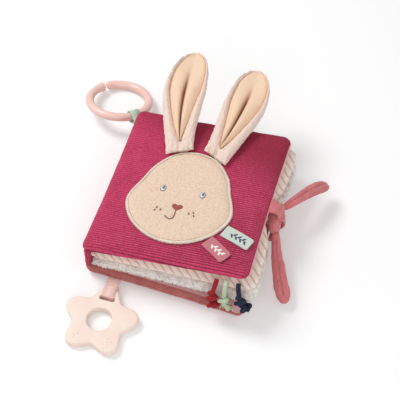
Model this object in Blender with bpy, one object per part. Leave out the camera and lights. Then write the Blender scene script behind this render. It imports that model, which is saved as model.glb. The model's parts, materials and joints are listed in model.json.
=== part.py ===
"""A closed crinkle cloth book: two quilted covers, two padded leaves and sewn-on toys.

The origin is on the table, under the middle of the rear cover. +X runs from
the spine to the fore-edge, +Y from the bottom edge to the top edge, +Z up.
All sizes are in metres.
"""

import math

import bmesh
import bpy
from mathutils import Matrix, Vector

# Clearances and cloths. A sewn end that turns needs more room than one at rest
GAP = 0.0003
TURNING_ROOM = 0.0006
CLOTH = 0.0014
FILM = 0.0006

# The book
BOOK_WIDTH = 0.158
BOOK_HEIGHT = 0.172
SPINE_STACK = 0.047
FORE_EDGE_STACK = 0.060
COVER_THICKNESS = 0.010
COVER_SEAM_HEIGHT = 0.0042
COVER_CORNER = 0.0075
COVER_ROLL = 0.009
REAR_SKEW = 0.008
REAR_THICKNESS = 0.011
REAR_SEAM_HEIGHT = 0.0072
SPINE_THICKNESS = 0.0065
SPINE_INNER_DEPTH = 0.0025
SPINE_ROLL = 0.005

# The leaves
LEAF_SIDE_OVERHANG = 0.0115
LEAF_END_OVERHANG = 0.0025
LEAF_CORNER = 0.012
LEAF_ROLL = 0.016
LEAF_AXIS_INSET = 0.0015
GUTTER_THICKNESS = 0.0012
REAR_GUTTER = 0.0025
WAIST_DEPTH = 0.013
WAIST_REACH = 0.022
WAIST_RUN = 0.080

# The rabbit head on the front cover
HEAD_WIDTH = 0.101
HEAD_HEIGHT = 0.1055
HEAD_OFFSET_X = -0.0025
HEAD_OFFSET_Y = -0.0114
HEAD_RIM = 0.0016
HEAD_CROWN = 0.0058
HEAD_ROLL = 0.012
TERRY = 0.0018
STITCH_RADIUS = 0.0009
EYE_WIDTH = 0.0062
EYE_HEIGHT = 0.0076
EYE_SPAN = 0.0388
EYE_ABOVE_CENTRE = 0.0018
THREAD = 0.0008
NOSE_WIDTH = 0.0108
NOSE_HEIGHT = 0.0088
NOSE_BELOW_CENTRE = 0.0160
MOUTH_DROP = 0.0095
MOUTH_HOOK = 0.0085
MOUTH_RADIUS = 0.0006

# The ears
EAR_LENGTH = 0.1068
EAR_WIDTH = 0.0430
EAR_DEPTH = 0.0074
EAR_SPREAD = 0.0363
EAR_SEAT_Y = 0.0508
EAR_SEAT_CLEARANCE = 0.0006
EAR_LEFT_LIFT = math.radians(12.5)
EAR_RIGHT_LIFT = math.radians(5.5)
EAR_SPLAY = math.radians(8)
EAR_BOW = 0.005
EAR_BASE_SLANT = 0.30

# The labels
LABEL_THICKNESS = 0.0016
LABEL_CORNER = 0.0030
MINT_LABEL_LENGTH = 0.0300
MINT_LABEL_WIDTH = 0.0128
MINT_LABEL_TURN = math.radians(-21.5)
PINK_LABEL_LENGTH = 0.0270
PINK_LABEL_WIDTH = 0.0135
PINK_LABEL_TURN = math.radians(-35)
LABEL_STANDOFF = 0.0012

# The tie
TIE_Y = 0.002
KNOT_OUT = 0.0095
KNOT_DROP = 0.0205
KNOT_LENGTH = 0.026
KNOT_WIDTH = 0.0155
KNOT_HEIGHT = 0.021
KNOT_PINCH = 0.10
STRAP_WIDTH = 0.015
STRAP_THICKNESS = 0.0034
TAIL_LENGTH = 0.074
TAIL_WIDTH = 0.0145
TAIL_DEPTH = 0.0085
TAIL_NECK = 0.0075

# The cords
CORD = 0.0038
CORD_KNOT = 0.0088
CORD_KNOT_LENGTH = 0.0105
CORD_END_LENGTH = 0.010

# The star
STAR_FROM_SPINE = 0.032
STAR_BELOW_BOOK = 0.0476
STAR_TIP_RADIUS = 0.0365
STAR_VALLEY_RADIUS = 0.0255
STAR_HOLE = 0.0235
STAR_THICKNESS = 0.0080
STAR_EDGE = 0.0022
SLOT_WIDTH = 0.0150
SLOT_LENGTH = 0.0046
SLOT_FROM_CENTRE = 0.0200
RIBBON = 0.0008
STAR_RIBBON_WIDTH = 0.0118
STAR_RIBBON_EXIT = 0.0078

# The ring
RING_FROM_SPINE = 0.034
RING_ABOVE_BOOK = 0.032
RING_RADIUS = 0.031
RING_TUBE = 0.0088
RING_TILT = math.radians(16.5)
RING_SLIT_ANGLE = math.radians(137)
RING_SLIT = 0.0020
RING_RIBBON_ANGLE = math.radians(-42)
RING_RIBBON_WIDTH = 0.0100
RING_RIBBON_PLAY = 0.0009
RING_RIBBON_MOUTH = math.radians(52)

# How finely round shapes are divided
CORNER_STEPS = 3
LABEL_CORNER_STEPS = 4
LEAF_STEPS = 13
SIDE_BUNCHING = 0.4
ROLL_SHARES = (0.0, 0.08, 0.28, 0.62, 1.0)
PLAIN_ROLL_SHARES = (0.0, 0.28, 1.0)
RING_STEPS = 36
RING_SIDES = 10
STAR_STEPS = 60

# Sizes that follow from the ones above
COVER_TILT = math.atan2(FORE_EDGE_STACK - SPINE_STACK, BOOK_WIDTH)
COVER_LENGTH = BOOK_WIDTH / math.cos(COVER_TILT)
HINGE_X = -BOOK_WIDTH / 2
HINGE_Z = SPINE_STACK - COVER_THICKNESS
INNER_HEIGHT = HINGE_Z - REAR_THICKNESS
LEAF_TILT = COVER_TILT / 2
LEAF_EDGE_X = HINGE_X + SPINE_THICKNESS + GAP
LEAF_AXIS_X = LEAF_EDGE_X + LEAF_AXIS_INSET
LEAF_OUTER_X = BOOK_WIDTH / 2 + LEAF_SIDE_OVERHANG
STAR_X = HINGE_X + STAR_FROM_SPINE
STAR_Y = -BOOK_HEIGHT / 2 - STAR_BELOW_BOOK
RING_X = HINGE_X - RING_FROM_SPINE
RING_Y = BOOK_HEIGHT / 2 + RING_ABOVE_BOOK

WORLD = Matrix.Identity(4)
COVER_PLANE = Matrix.Translation((HINGE_X, 0, HINGE_Z)) @ Matrix.Rotation(-COVER_TILT, 4, "Y")
FACE_PLANE = COVER_PLANE @ Matrix.Translation(
    (
        (BOOK_WIDTH / 2 + HEAD_OFFSET_X) / math.cos(COVER_TILT),
        HEAD_OFFSET_Y,
        COVER_THICKNESS,
    )
)

# Colours as sRGB shares, with roughness
RASPBERRY = ((0.78, 0.27, 0.45), 0.9)
PALE_PINK = ((0.90, 0.68, 0.70), 0.9)
DUSTY_ROSE = ((0.75, 0.37, 0.39), 0.9)
TIE_ROSE = ((0.84, 0.49, 0.52), 0.9)
WADDING_WHITE = ((0.93, 0.92, 0.90), 0.95)
FILM_SILVER = ((0.80, 0.82, 0.84), 0.35)
RIBBED_PINK = ((0.89, 0.77, 0.73), 0.95)
PLUSH_WHITE = ((0.89, 0.87, 0.82), 0.95)
TERRY_BEIGE = ((0.94, 0.84, 0.75), 0.95)
STITCH_CREAM = ((0.96, 0.91, 0.85), 0.85)
EAR_CREAM = ((0.94, 0.84, 0.79), 0.95)
EAR_TAN = ((0.92, 0.77, 0.60), 0.85)
THREAD_GREY = ((0.50, 0.52, 0.58), 0.6)
THREAD_ROSE = ((0.72, 0.38, 0.35), 0.7)
LABEL_MINT = ((0.84, 0.89, 0.84), 0.7)
LABEL_PINK = ((0.84, 0.51, 0.55), 0.7)
CORD_RED = ((0.76, 0.06, 0.14), 0.8)
CORD_MINT = ((0.78, 0.84, 0.71), 0.8)
CORD_NAVY = ((0.08, 0.10, 0.27), 0.8)
RIBBON_PINK = ((0.88, 0.63, 0.63), 0.45)
RIBBON_MINT = ((0.78, 0.90, 0.80), 0.45)
SILICONE_PEACH = ((0.99, 0.89, 0.85), 0.45)
PLASTIC_PINK = ((0.94, 0.75, 0.71), 0.3)

frames = {}


def clear_scene():
    for item in list(bpy.data.objects):
        bpy.data.objects.remove(item)


def linear(value):
    """An sRGB share as the linear share that a shader takes."""
    return value / 12.92 if value <= 0.04045 else ((value + 0.055) / 1.055) ** 2.4


def material(name, finish):
    (red, green, blue), roughness = finish
    made = bpy.data.materials.new(name)
    made.use_nodes = True
    shader = made.node_tree.nodes["Principled BSDF"]
    shader.inputs["Base Color"].default_value = (linear(red), linear(green), linear(blue), 1)
    shader.inputs["Roughness"].default_value = roughness
    shader.inputs["Metallic"].default_value = 0
    return made


def hinge(name, place, parent=None):
    """An empty on a joint's axis, turned as the whole book is."""
    empty = bpy.data.objects.new(name, None)
    bpy.context.collection.objects.link(empty)
    start = frames[parent].translation if parent else Vector((0, 0, 0))
    empty.location = place - start
    if parent:
        empty.parent = bpy.data.objects[parent]
    frames[name] = Matrix.Translation(place)
    return name


def add_object(name, data, finish, parent):
    data.materials.append(material(name, finish))
    made = bpy.data.objects.new(name, data)
    bpy.context.collection.objects.link(made)
    if parent:
        made.parent = bpy.data.objects[parent]
    return made


def body(name, loops, finish, parent=None, frame=WORLD, ring=False):
    """One closed body through equal loops, capped at both ends or closed on itself."""
    to_local = (frames[parent].inverted() if parent else WORLD) @ frame
    mesh = bmesh.new()
    rows = [[mesh.verts.new(to_local @ Vector(point)) for point in loop] for loop in loops]
    count = len(rows[0])
    pairs = list(zip(rows, rows[1:]))
    if ring:
        pairs.append((rows[-1], rows[0]))
    for low, high in pairs:
        for i in range(count):
            j = (i + 1) % count
            mesh.faces.new((low[i], low[j], high[j], high[i]))
    if not ring:
        mesh.faces.new(rows[0])
        mesh.faces.new(rows[-1])
    bmesh.ops.recalc_face_normals(mesh, faces=mesh.faces)
    data = bpy.data.meshes.new(name)
    mesh.to_mesh(data)
    mesh.free()
    data.shade_smooth()
    data.set_sharp_from_angle(angle=math.radians(50))
    return add_object(name, data, finish, parent)


def cord_tube(name, points, radius, finish, parent=None, frame=WORLD, fineness=2):
    """A tube with filled ends along a smooth curve through the points."""
    to_local = (frames[parent].inverted() if parent else WORLD) @ frame
    data = bpy.data.curves.new(name, "CURVE")
    data.dimensions = "3D"
    data.bevel_depth = radius
    data.bevel_resolution = fineness
    data.use_fill_caps = True
    spline = data.splines.new("POLY")
    path = smooth_path(points, 3)
    spline.points.add(len(path) - 1)
    for target, point in zip(spline.points, path):
        target.co = (*(to_local @ Vector(point)), 1)
    return add_object(name, data, finish, parent)


def smooth_path(points, steps, closed=False):
    """Points on a Catmull-Rom curve through the given ones."""
    knots = [Vector(point) for point in points]
    if closed:
        knots = [knots[-1]] + knots + knots[:2]
    else:
        knots = [2 * knots[0] - knots[1]] + knots + [2 * knots[-1] - knots[-2]]
    path = []
    for before, start, end, after in zip(knots, knots[1:], knots[2:], knots[3:]):
        for step in range(steps):
            t = step / steps
            path.append(
                0.5
                * (
                    2 * start
                    + (end - before) * t
                    + (2 * before - 5 * start + 4 * end - after) * t**2
                    + (3 * start - before - 3 * end + after) * t**3
                )
            )
    if not closed:
        path.append(knots[-2])
    return path


def roll_height(share):
    """Height share of a rolled edge, at a share of the way in from the rim."""
    return math.sqrt(1 - (1 - share) ** 2)


def edge_loop(size, inset, height):
    """A rounded rectangle, moved in by inset, with points along its sides too."""
    half_x, half_y, corner, steps_x, steps_y = size
    x, y = half_x - inset, half_y - inset
    radius = max(corner - inset, corner / 4)
    loop = []
    centres = [(x - radius, y - radius), (radius - x, y - radius)]
    centres += [(radius - x, radius - y), (x - radius, radius - y)]
    for quarter, (cx, cy) in enumerate(centres):
        for step in range(CORNER_STEPS + 1):
            turn = math.pi / 2 * (quarter + step / CORNER_STEPS)
            loop.append((cx + radius * math.cos(turn), cy + radius * math.sin(turn), height))
        turn = math.pi / 2 * (quarter + 1)
        start = Vector(loop[-1])
        nx, ny = centres[(quarter + 1) % 4]
        end = Vector((nx + radius * math.cos(turn), ny + radius * math.sin(turn), height))
        steps = steps_y if quarter % 2 else steps_x
        for step in range(1, steps + 1):
            off = step / (steps + 1) - 0.5
            share = 0.5 + off * (SIDE_BUNCHING + (1 - SIDE_BUNCHING) * (2 * off) ** 2)
            loop.append(tuple(start.lerp(end, share)))
    return loop


def face_loops(size, roll, rise, skin, shares):
    """Loops from a pad's middle out to its rim, under a skin of the given depth."""
    sign = math.copysign(1, rise)
    loops = []
    for share in reversed(shares):
        height = GAP / 2 + (abs(rise) - GAP / 2 - skin) * roll_height(share)
        inset = skin + (roll - skin) * share
        loops.append(edge_loop(size, inset, sign * height))
    return loops


def moved(loops, shape):
    return [[shape(Vector(point)) for point in loop] for loop in loops]


def cloth_tray(name, size, roll, rise, shape, finish, parent=None, frame=WORLD):
    """One face of a padded piece: a cloth that rises from the seam and rolls at its edge."""
    outside = face_loops(size, roll, rise, 0, ROLL_SHARES)
    inside = face_loops(size, roll, rise, CLOTH, PLAIN_ROLL_SHARES)
    body(name, moved(outside + inside[::-1], shape), finish, parent, frame)


def filling(name, size, roll, top, bottom, shape, finish, parent=None, frame=WORLD):
    """Wadding that fills two cloth trays, with room under it for the film."""
    skin = CLOTH + 2 * GAP
    upper = face_loops(size, roll, top, skin, PLAIN_ROLL_SHARES)
    lower = face_loops(size, roll, -bottom, skin, PLAIN_ROLL_SHARES)
    body(name, moved(upper + lower[::-1], shape), finish, parent, frame)


def film_sheet(name, size, roll, bottom, shape, finish, parent=None, frame=WORLD):
    """The crackling film, flat inside the lower cloth tray."""
    low = CLOTH + GAP - bottom
    loops = [edge_loop(size, roll, low + depth) for depth in (0, FILM)]
    body(name, moved(loops, shape), finish, parent, frame)


def front_cover(parent):
    size = (COVER_LENGTH / 2, BOOK_HEIGHT / 2, COVER_CORNER, 1, 1)
    top = COVER_THICKNESS - COVER_SEAM_HEIGHT
    centre = Vector((COVER_LENGTH / 2, 0, COVER_SEAM_HEIGHT))

    def shape(point):
        return point + centre

    place = (shape, RASPBERRY, parent, COVER_PLANE)
    cloth_tray("front_cover_cloth", size, COVER_ROLL, top, *place)
    place = (shape, PALE_PINK, parent, COVER_PLANE)
    cloth_tray("front_cover_lining", size, COVER_ROLL, -COVER_SEAM_HEIGHT, *place)
    room = COVER_SEAM_HEIGHT - FILM - GAP
    place = (shape, WADDING_WHITE, parent, COVER_PLANE)
    filling("front_cover_wadding", size, COVER_ROLL, top, room, *place)
    place = (shape, FILM_SILVER, parent, COVER_PLANE)
    film_sheet("front_cover_film", size, COVER_ROLL, COVER_SEAM_HEIGHT, *place)


def rear_shift(x):
    """How far the rear cover has slipped down, which is most at the fore-edge."""
    return REAR_SKEW * (x - HINGE_X) / BOOK_WIDTH


def rear_cover():
    size = (BOOK_WIDTH / 2, BOOK_HEIGHT / 2, COVER_CORNER, 1, 1)
    top = REAR_THICKNESS - REAR_SEAM_HEIGHT

    def shape(point):
        return point + Vector((0, -rear_shift(point.x), REAR_SEAM_HEIGHT))

    cloth_tray("rear_cover_cloth", size, COVER_ROLL, -REAR_SEAM_HEIGHT, shape, DUSTY_ROSE)
    cloth_tray("rear_cover_lining", size, COVER_ROLL, top, shape, PALE_PINK)
    room = REAR_SEAM_HEIGHT - FILM - GAP
    filling("rear_cover_wadding", size, COVER_ROLL, top, room, shape, WADDING_WHITE)
    film_sheet("rear_cover_film", size, COVER_ROLL, REAR_SEAM_HEIGHT, shape, FILM_SILVER)


def spine():
    """A padded strip that stands on the rear cover's edge and carries the front cover."""
    foot = REAR_THICKNESS + GAP
    head = HINGE_Z - GAP
    size = ((head - foot) / 2, BOOK_HEIGHT / 2, COVER_CORNER / 2, 1, 1)
    outer = SPINE_THICKNESS - SPINE_INNER_DEPTH

    def shape(point):
        return Vector((HINGE_X + outer - point.z, point.y, (head + foot) / 2 + point.x))

    cloth_tray("spine_cloth", size, SPINE_ROLL, outer, shape, RASPBERRY)
    cloth_tray("spine_lining", size, SPINE_ROLL, -SPINE_INNER_DEPTH, shape, PALE_PINK)
    filling("spine_wadding", size, SPINE_ROLL, outer, SPINE_INNER_DEPTH, shape, WADDING_WHITE)


def leaf_middle_z(number, x):
    """Height of a leaf's seam: the leaves share the wedge between the covers."""
    spread = math.tan(LEAF_TILT) * (x - HINGE_X)
    if number == 2:
        return REAR_THICKNESS + INNER_HEIGHT / 4 + spread / 2
    return REAR_THICKNESS + INNER_HEIGHT * 3 / 4 + spread * 3 / 2


def leaf_axis(number):
    return Vector((LEAF_AXIS_X, 0, leaf_middle_z(number, LEAF_AXIS_X)))


def gutter_length(number):
    """Unpadded cloth between the axis and the pad: the first leaf's clears the spine."""
    return REAR_GUTTER if number == 2 else HINGE_Z - leaf_axis(1).z


def leaf_shape(number):
    """The bend of one leaf: a wedge that follows the tilt and is drawn in under the tie."""
    thickness = INNER_HEIGHT / 2
    pad_x = LEAF_AXIS_X + gutter_length(number)
    middle_x = (pad_x + LEAF_OUTER_X) / 2
    waist_start = LEAF_OUTER_X - WAIST_RUN

    def shape(point):
        x = point.x + middle_x
        reach = (point.y - TIE_Y) / WAIST_REACH
        along = max(0, (x - waist_start) / WAIST_RUN)
        x -= WAIST_DEPTH * math.exp(-(reach**2)) * along**2
        grown = (thickness + math.tan(LEAF_TILT) * (x - HINGE_X) - GAP) / thickness
        return Vector((x, point.y, leaf_middle_z(number, x) + point.z * grown))

    return shape


def leaf(number, upper_finish, lower_finish, parent):
    half_x = (LEAF_OUTER_X - LEAF_AXIS_X - gutter_length(number)) / 2
    half_y = BOOK_HEIGHT / 2 + LEAF_END_OVERHANG
    size = (half_x, half_y, LEAF_CORNER, 1, LEAF_STEPS)
    rise = INNER_HEIGHT / 4
    shape = leaf_shape(number)
    name = f"leaf_{number}"
    cloth_tray(f"{name}_front_cloth", size, LEAF_ROLL, rise, shape, upper_finish, parent)
    cloth_tray(f"{name}_back_cloth", size, LEAF_ROLL, -rise, shape, lower_finish, parent)
    room = rise - FILM - GAP
    filling(f"{name}_wadding", size, LEAF_ROLL, rise, room, shape, WADDING_WHITE, parent)
    film_sheet(f"{name}_film", size, LEAF_ROLL, rise, shape, FILM_SILVER, parent)
    near = -half_x - gutter_length(number) - LEAF_AXIS_INSET
    far = -half_x - GAP
    side = half_y - LEAF_CORNER
    corners = [(near, -side), (far, -side), (far, side), (near, side)]
    half = GUTTER_THICKNESS / 2
    strip = [[(x, y, z) for x, y in corners] for z in (-half, half)]
    body(f"{name}_gutter", moved(strip, shape), lower_finish, parent)


# Right half of the head's outline, from the crown to the chin
HEAD_HALF_SHARES = (
    (0.0, 1.0),
    (0.40, 0.90),
    (0.70, 0.58),
    (0.84, 0.24),
    (1.0, -0.23),
    (0.82, -0.63),
    (0.44, -0.905),
    (0.0, -1.0),
)


def head_outline(steps=3):
    left = [(-x, y) for x, y in HEAD_HALF_SHARES[-2:0:-1]]
    half_w, half_h = HEAD_WIDTH / 2, HEAD_HEIGHT / 2
    points = [(x * half_w, y * half_h, 0) for x, y in list(HEAD_HALF_SHARES) + left]
    return smooth_path(points, steps, closed=True)


def inset_outline(points, inset, height):
    """A closed clockwise outline, moved in along its normals and lifted."""
    loop = []
    count = len(points)
    for i, point in enumerate(points):
        along = points[(i + 1) % count] - points[i - 1]
        inward = Vector((along.y, -along.x, 0)).normalized()
        loop.append(point + inward * inset + Vector((0, 0, height)))
    return loop


def head(parent):
    outline = head_outline()
    place = (parent, FACE_PLANE)
    crown = ((1.0, 1.0), (0.62, 0.90), (0.28, 0.66), (0.08, 0.36), (0.0, 0.0))
    rise = HEAD_CROWN - HEAD_RIM
    outer = [inset_outline(outline, HEAD_ROLL * s, HEAD_RIM + rise * h) for s, h in crown]
    outer.append(inset_outline(outline, 0, GAP))
    ceiling = HEAD_CROWN - TERRY
    under = [
        inset_outline(outline, TERRY, GAP),
        inset_outline(outline, TERRY + HEAD_ROLL * 0.28, GAP + (ceiling - GAP) * 0.55),
        inset_outline(outline, TERRY + HEAD_ROLL, ceiling),
    ]
    body("head_plush", outer + under, TERRY_BEIGE, *place)
    skin = TERRY + GAP
    pad = [
        inset_outline(outline, skin + HEAD_ROLL, ceiling - GAP),
        inset_outline(outline, skin + HEAD_ROLL * 0.34, GAP + (ceiling - GAP) * 0.46),
        inset_outline(outline, skin + HEAD_ROLL * 0.12, GAP),
    ]
    body("head_wadding", pad, WADDING_WHITE, *place)
    centre = -(STITCH_RADIUS + GAP)
    stitches = []
    for step in range(4):
        turn = math.pi / 2 * (step + 0.5)
        inset = centre + STITCH_RADIUS * math.cos(turn)
        height = GAP + STITCH_RADIUS * (1 + math.sin(turn))
        stitches.append(inset_outline(outline, inset, height))
    body("head_edge_stitching", stitches, STITCH_CREAM, *place, ring=True)


def thread_patch(name, outline, finish, parent):
    """A flat embroidered patch that lies on the head's crown."""
    low = HEAD_CROWN + GAP
    loops = [[(x, y, low) for x, y in outline], [(x, y, low + THREAD) for x, y in outline]]
    body(name, loops, finish, parent, FACE_PLANE)


def features(parent):
    """Embroidered eyes, a heart nose and a hooked mouth."""
    for name, side in (("eye_left", -1), ("eye_right", 1)):
        turns = [math.tau * k / 14 for k in range(14)]
        middle = side * EYE_SPAN / 2
        eye = [
            (middle + EYE_WIDTH / 2 * math.cos(t), EYE_ABOVE_CENTRE + EYE_HEIGHT / 2 * math.sin(t))
            for t in turns
        ]
        thread_patch(name, eye, THREAD_GREY, parent)
    nose = []
    for k in range(20):
        t = math.tau * (k + 0.5) / 20
        across = math.sin(t) ** 3
        up = (13 * math.cos(t) - 5 * math.cos(2 * t) - 2 * math.cos(3 * t) - math.cos(4 * t)) / 15
        nose.append((NOSE_WIDTH / 2 * across, NOSE_HEIGHT / 2 * up - NOSE_BELOW_CENTRE))
    thread_patch("nose", nose, THREAD_ROSE, parent)
    height = HEAD_CROWN + GAP + MOUTH_RADIUS
    top = -NOSE_BELOW_CENTRE - NOSE_HEIGHT * 0.58 - MOUTH_RADIUS - GAP
    low = top - MOUTH_DROP
    route = [
        (0, top, height),
        (0, top - MOUTH_DROP * 0.5, height),
        (-MOUTH_HOOK * 0.12, low + MOUTH_HOOK * 0.10, height),
        (-MOUTH_HOOK * 0.5, low, height),
        (-MOUTH_HOOK, low + MOUTH_HOOK * 0.35, height),
    ]
    cord_tube("mouth", route, MOUTH_RADIUS, THREAD_ROSE, parent, FACE_PLANE, fineness=1)


# Ear sections: half-width share along the ear, from the sewn base to the tip
EAR_WIDTH_SHARES = (
    (0.0, 0.56),
    (0.05, 0.57),
    (0.12, 0.62),
    (0.26, 0.74),
    (0.42, 0.88),
    (0.58, 0.98),
    (0.70, 1.0),
    (0.81, 0.93),
    (0.89, 0.80),
    (0.925, 0.70),
    (0.965, 0.50),
    (1.0, 0.18),
)
# Across the ear's fleece: a round back, two lips and a trough between them
EAR_BACK_SHARES = (
    (-1.0, 0.0),
    (-0.82, -0.56),
    (-0.45, -0.9),
    (0.0, -1.0),
    (0.45, -0.9),
    (0.82, -0.56),
    (1.0, 0.0),
    (0.94, 0.40),
    (0.78, 0.50),
)
EAR_TROUGH_SHARES = ((0.66, 0.10), (0.3, -0.18), (0.0, -0.3), (-0.3, -0.18), (-0.66, 0.10))
EAR_LIP_SHARES = ((-0.78, 0.50), (-0.94, 0.40))
# Across the lining: two lobes with a deep crease
EAR_LINING_SHARES = (
    (-0.60, 0.18),
    (-0.28, -0.09),
    (0.0, -0.2),
    (0.28, -0.09),
    (0.60, 0.18),
    (0.70, 0.5),
    (0.45, 0.84),
    (0.16, 0.62),
    (0.0, 0.04),
    (-0.16, 0.62),
    (-0.45, 0.84),
    (-0.70, 0.5),
)
EAR_LIP_SHARE = 0.45


def ear_depth(width):
    """The ear grows thinner more slowly than it grows narrow."""
    return EAR_DEPTH * (0.35 + 0.65 * width)


def ear_point(side, along, width, across, height):
    """A point of an ear: its base follows the head's slanted rim."""
    x = across * width * EAR_WIDTH / 2
    slant = max(0, 1 - along / 0.3) * EAR_BASE_SLANT
    z = height * ear_depth(width) + EAR_BOW * along**2
    return (x, along * EAR_LENGTH - side * slant * x, z)


def ear(name, side, parent, frame):
    outer = []
    lining = []
    for along, width in EAR_WIDTH_SHARES:
        closing = max(0, min(1, (along - 0.89) / 0.035)) + max(0, min(1, (0.05 - along) / 0.05))
        section = list(EAR_BACK_SHARES)
        section += [(x, z + (EAR_LIP_SHARE - z) * closing) for x, z in EAR_TROUGH_SHARES]
        section += EAR_LIP_SHARES
        outer.append([ear_point(side, along, width, x, z) for x, z in section])
        if 0 < along < 0.9:
            lining.append([ear_point(side, along, width, x, z) for x, z in EAR_LINING_SHARES])
    body(f"{name}_fleece", outer, EAR_CREAM, parent, frame)
    body(f"{name}_lining", lining, EAR_TAN, parent, frame)


def ears(parent):
    height = ear_depth(EAR_WIDTH_SHARES[0][1]) + EAR_SEAT_CLEARANCE
    for name, side, lift in (("ear_left", -1, EAR_LEFT_LIFT), ("ear_right", 1, EAR_RIGHT_LIFT)):
        seat = FACE_PLANE @ Vector((side * EAR_SPREAD / 2, EAR_SEAT_Y, height))
        turn = Matrix.Rotation(-side * EAR_SPLAY, 4, "Z") @ Matrix.Rotation(lift, 4, "X")
        axis = hinge(f"{name}_hinge", seat, parent)
        ear(name, side, axis, Matrix.Translation(seat) @ turn)


def label(name, root, turn, length, width, finish, parent):
    """A folded ribbon label that lifts about the top of its sewn end."""
    top = LABEL_THICKNESS + GAP
    seat = FACE_PLANE @ Vector((*root, top))
    axis = hinge(f"{name}_hinge", seat, parent)
    half = width / 2
    outline = [(0, -half)]
    for end in (-1, 1):
        middle = (length - LABEL_CORNER, end * (half - LABEL_CORNER))
        for step in range(LABEL_CORNER_STEPS + 1):
            bend = math.pi / 2 * (step / LABEL_CORNER_STEPS + (end - 1) / 2)
            across = middle[1] + LABEL_CORNER * math.sin(bend)
            outline.append((middle[0] + LABEL_CORNER * math.cos(bend), across))
    outline.append((0, half))
    loops = [[(x, y, z) for x, y in outline] for z in (GAP, top)]
    frame = FACE_PLANE @ Matrix.Translation((*root, 0)) @ Matrix.Rotation(turn, 4, "Z")
    body(name, loops, finish, axis, frame)


def rim_point(direction, standoff):
    """A place just outside the head's stitched rim, in a direction from its centre."""
    outline = head_outline(24)
    aim = Vector((math.cos(direction), math.sin(direction), 0))
    best = max(outline, key=lambda point: point.normalized().dot(aim))
    return best + aim * (2 * STITCH_RADIUS + GAP + standoff)


def labels(parent):
    mint = rim_point(math.radians(-30), LABEL_STANDOFF)
    size = (MINT_LABEL_TURN, MINT_LABEL_LENGTH, MINT_LABEL_WIDTH)
    label("label_mint", (mint.x, mint.y), *size, LABEL_MINT, parent)
    pink = rim_point(math.radians(-49), LABEL_STANDOFF)
    size = (PINK_LABEL_TURN, PINK_LABEL_LENGTH, PINK_LABEL_WIDTH)
    label("label_pink", (pink.x, pink.y), *size, LABEL_PINK, parent)


def swept(points, section, across=None):
    """Loops across a path. Each takes (side, up) pairs from section(share)."""
    loops = []
    count = len(points)
    for i, point in enumerate(points):
        tangent = (points[min(i + 1, count - 1)] - points[max(i - 1, 0)]).normalized()
        side = across or tangent.cross(Vector((0, 0, 1)))
        side = (side - tangent * side.dot(tangent)).normalized()
        up = side.cross(tangent)
        share = i / (count - 1)
        loops.append([point + side * a + up * b for a, b in section(share)])
    return loops


def oval(width, depth, sides=12):
    turns = [math.tau * k / sides for k in range(sides)]
    return [(width / 2 * math.cos(t), depth / 2 * math.sin(t)) for t in turns]


def table_value(table, share):
    """A value read off a table of (place, value) pairs."""
    for (start, low), (end, high) in zip(table, table[1:]):
        if share <= end:
            return low + (high - low) * (share - start) / (end - start)
    return table[-1][1]


def strap_section(width, depth):
    """A flat strap's section with rounded edges."""
    a, b = width / 2, depth / 2
    return [
        (-a, -b / 2),
        (-a + b, -b),
        (a - b, -b),
        (a, -b / 2),
        (a, b / 2),
        (a - b, b),
        (b - a, b),
        (-a, b / 2),
    ]


TAIL_WIDTH_SHARES = (
    (0.0, 0.40),
    (0.08, 0.56),
    (0.3, 0.66),
    (0.55, 0.88),
    (0.74, 1.0),
    (0.88, 0.86),
    (0.96, 0.52),
    (1.0, 0.14),
)
# Routes of the two tails from their roots, as shares of a tail's length
TAIL_UPPER_STEP_SHARES = (
    (0.0, 0.0, 0.0),
    (0.11, 0.17, -0.02),
    (0.22, 0.37, -0.09),
    (0.33, 0.56, -0.18),
    (0.43, 0.69, -0.26),
)
TAIL_LOWER_STEP_SHARES = (
    (0.0, 0.0, 0.0),
    (0.07, -0.20, -0.10),
    (0.15, -0.42, -0.19),
    (0.25, -0.65, -0.27),
    (0.38, -0.85, -0.33),
)


# Places of the tails' axes across the knot's ends, as shares of its width and height
TAIL_ROOT_SHARES = ((0.12, 0.12), (0.0, -0.10))
TAIL_ROOT_STEPS = 3


def tail_root_depth():
    return TAIL_DEPTH * TAIL_WIDTH_SHARES[0][1] ** 0.8


def tail(name, route, parent):
    """A stuffed, leaf-shaped tail of the tie. Its root is rounded about its axis."""
    path = smooth_path(route, 4)
    depth = tail_root_depth()
    inward = (path[0] - path[1]).normalized() * depth / 2
    turns = [math.pi / 2 * (k + 0.3) / TAIL_ROOT_STEPS for k in range(TAIL_ROOT_STEPS)]
    root = [path[0] + inward * math.cos(turn) for turn in turns]
    last = len(path) - 1

    def section(share):
        place = round(share * (last + len(turns))) - len(turns)
        if place < 0:
            return oval(TAIL_NECK * math.sin(turns[place]), depth * math.sin(turns[place]))
        swell = table_value(TAIL_WIDTH_SHARES, place / last)
        neck = TAIL_NECK / TAIL_WIDTH
        return oval(TAIL_WIDTH * max(swell, min(neck, swell * 2)), TAIL_DEPTH * swell**0.8)

    body(name, swept(root + path, section), TIE_ROSE, parent)


def knot_centre():
    cover_middle = FORE_EDGE_STACK - COVER_THICKNESS / 2
    return Vector((BOOK_WIDTH / 2 + KNOT_OUT, TIE_Y, cover_middle - KNOT_DROP))


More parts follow.
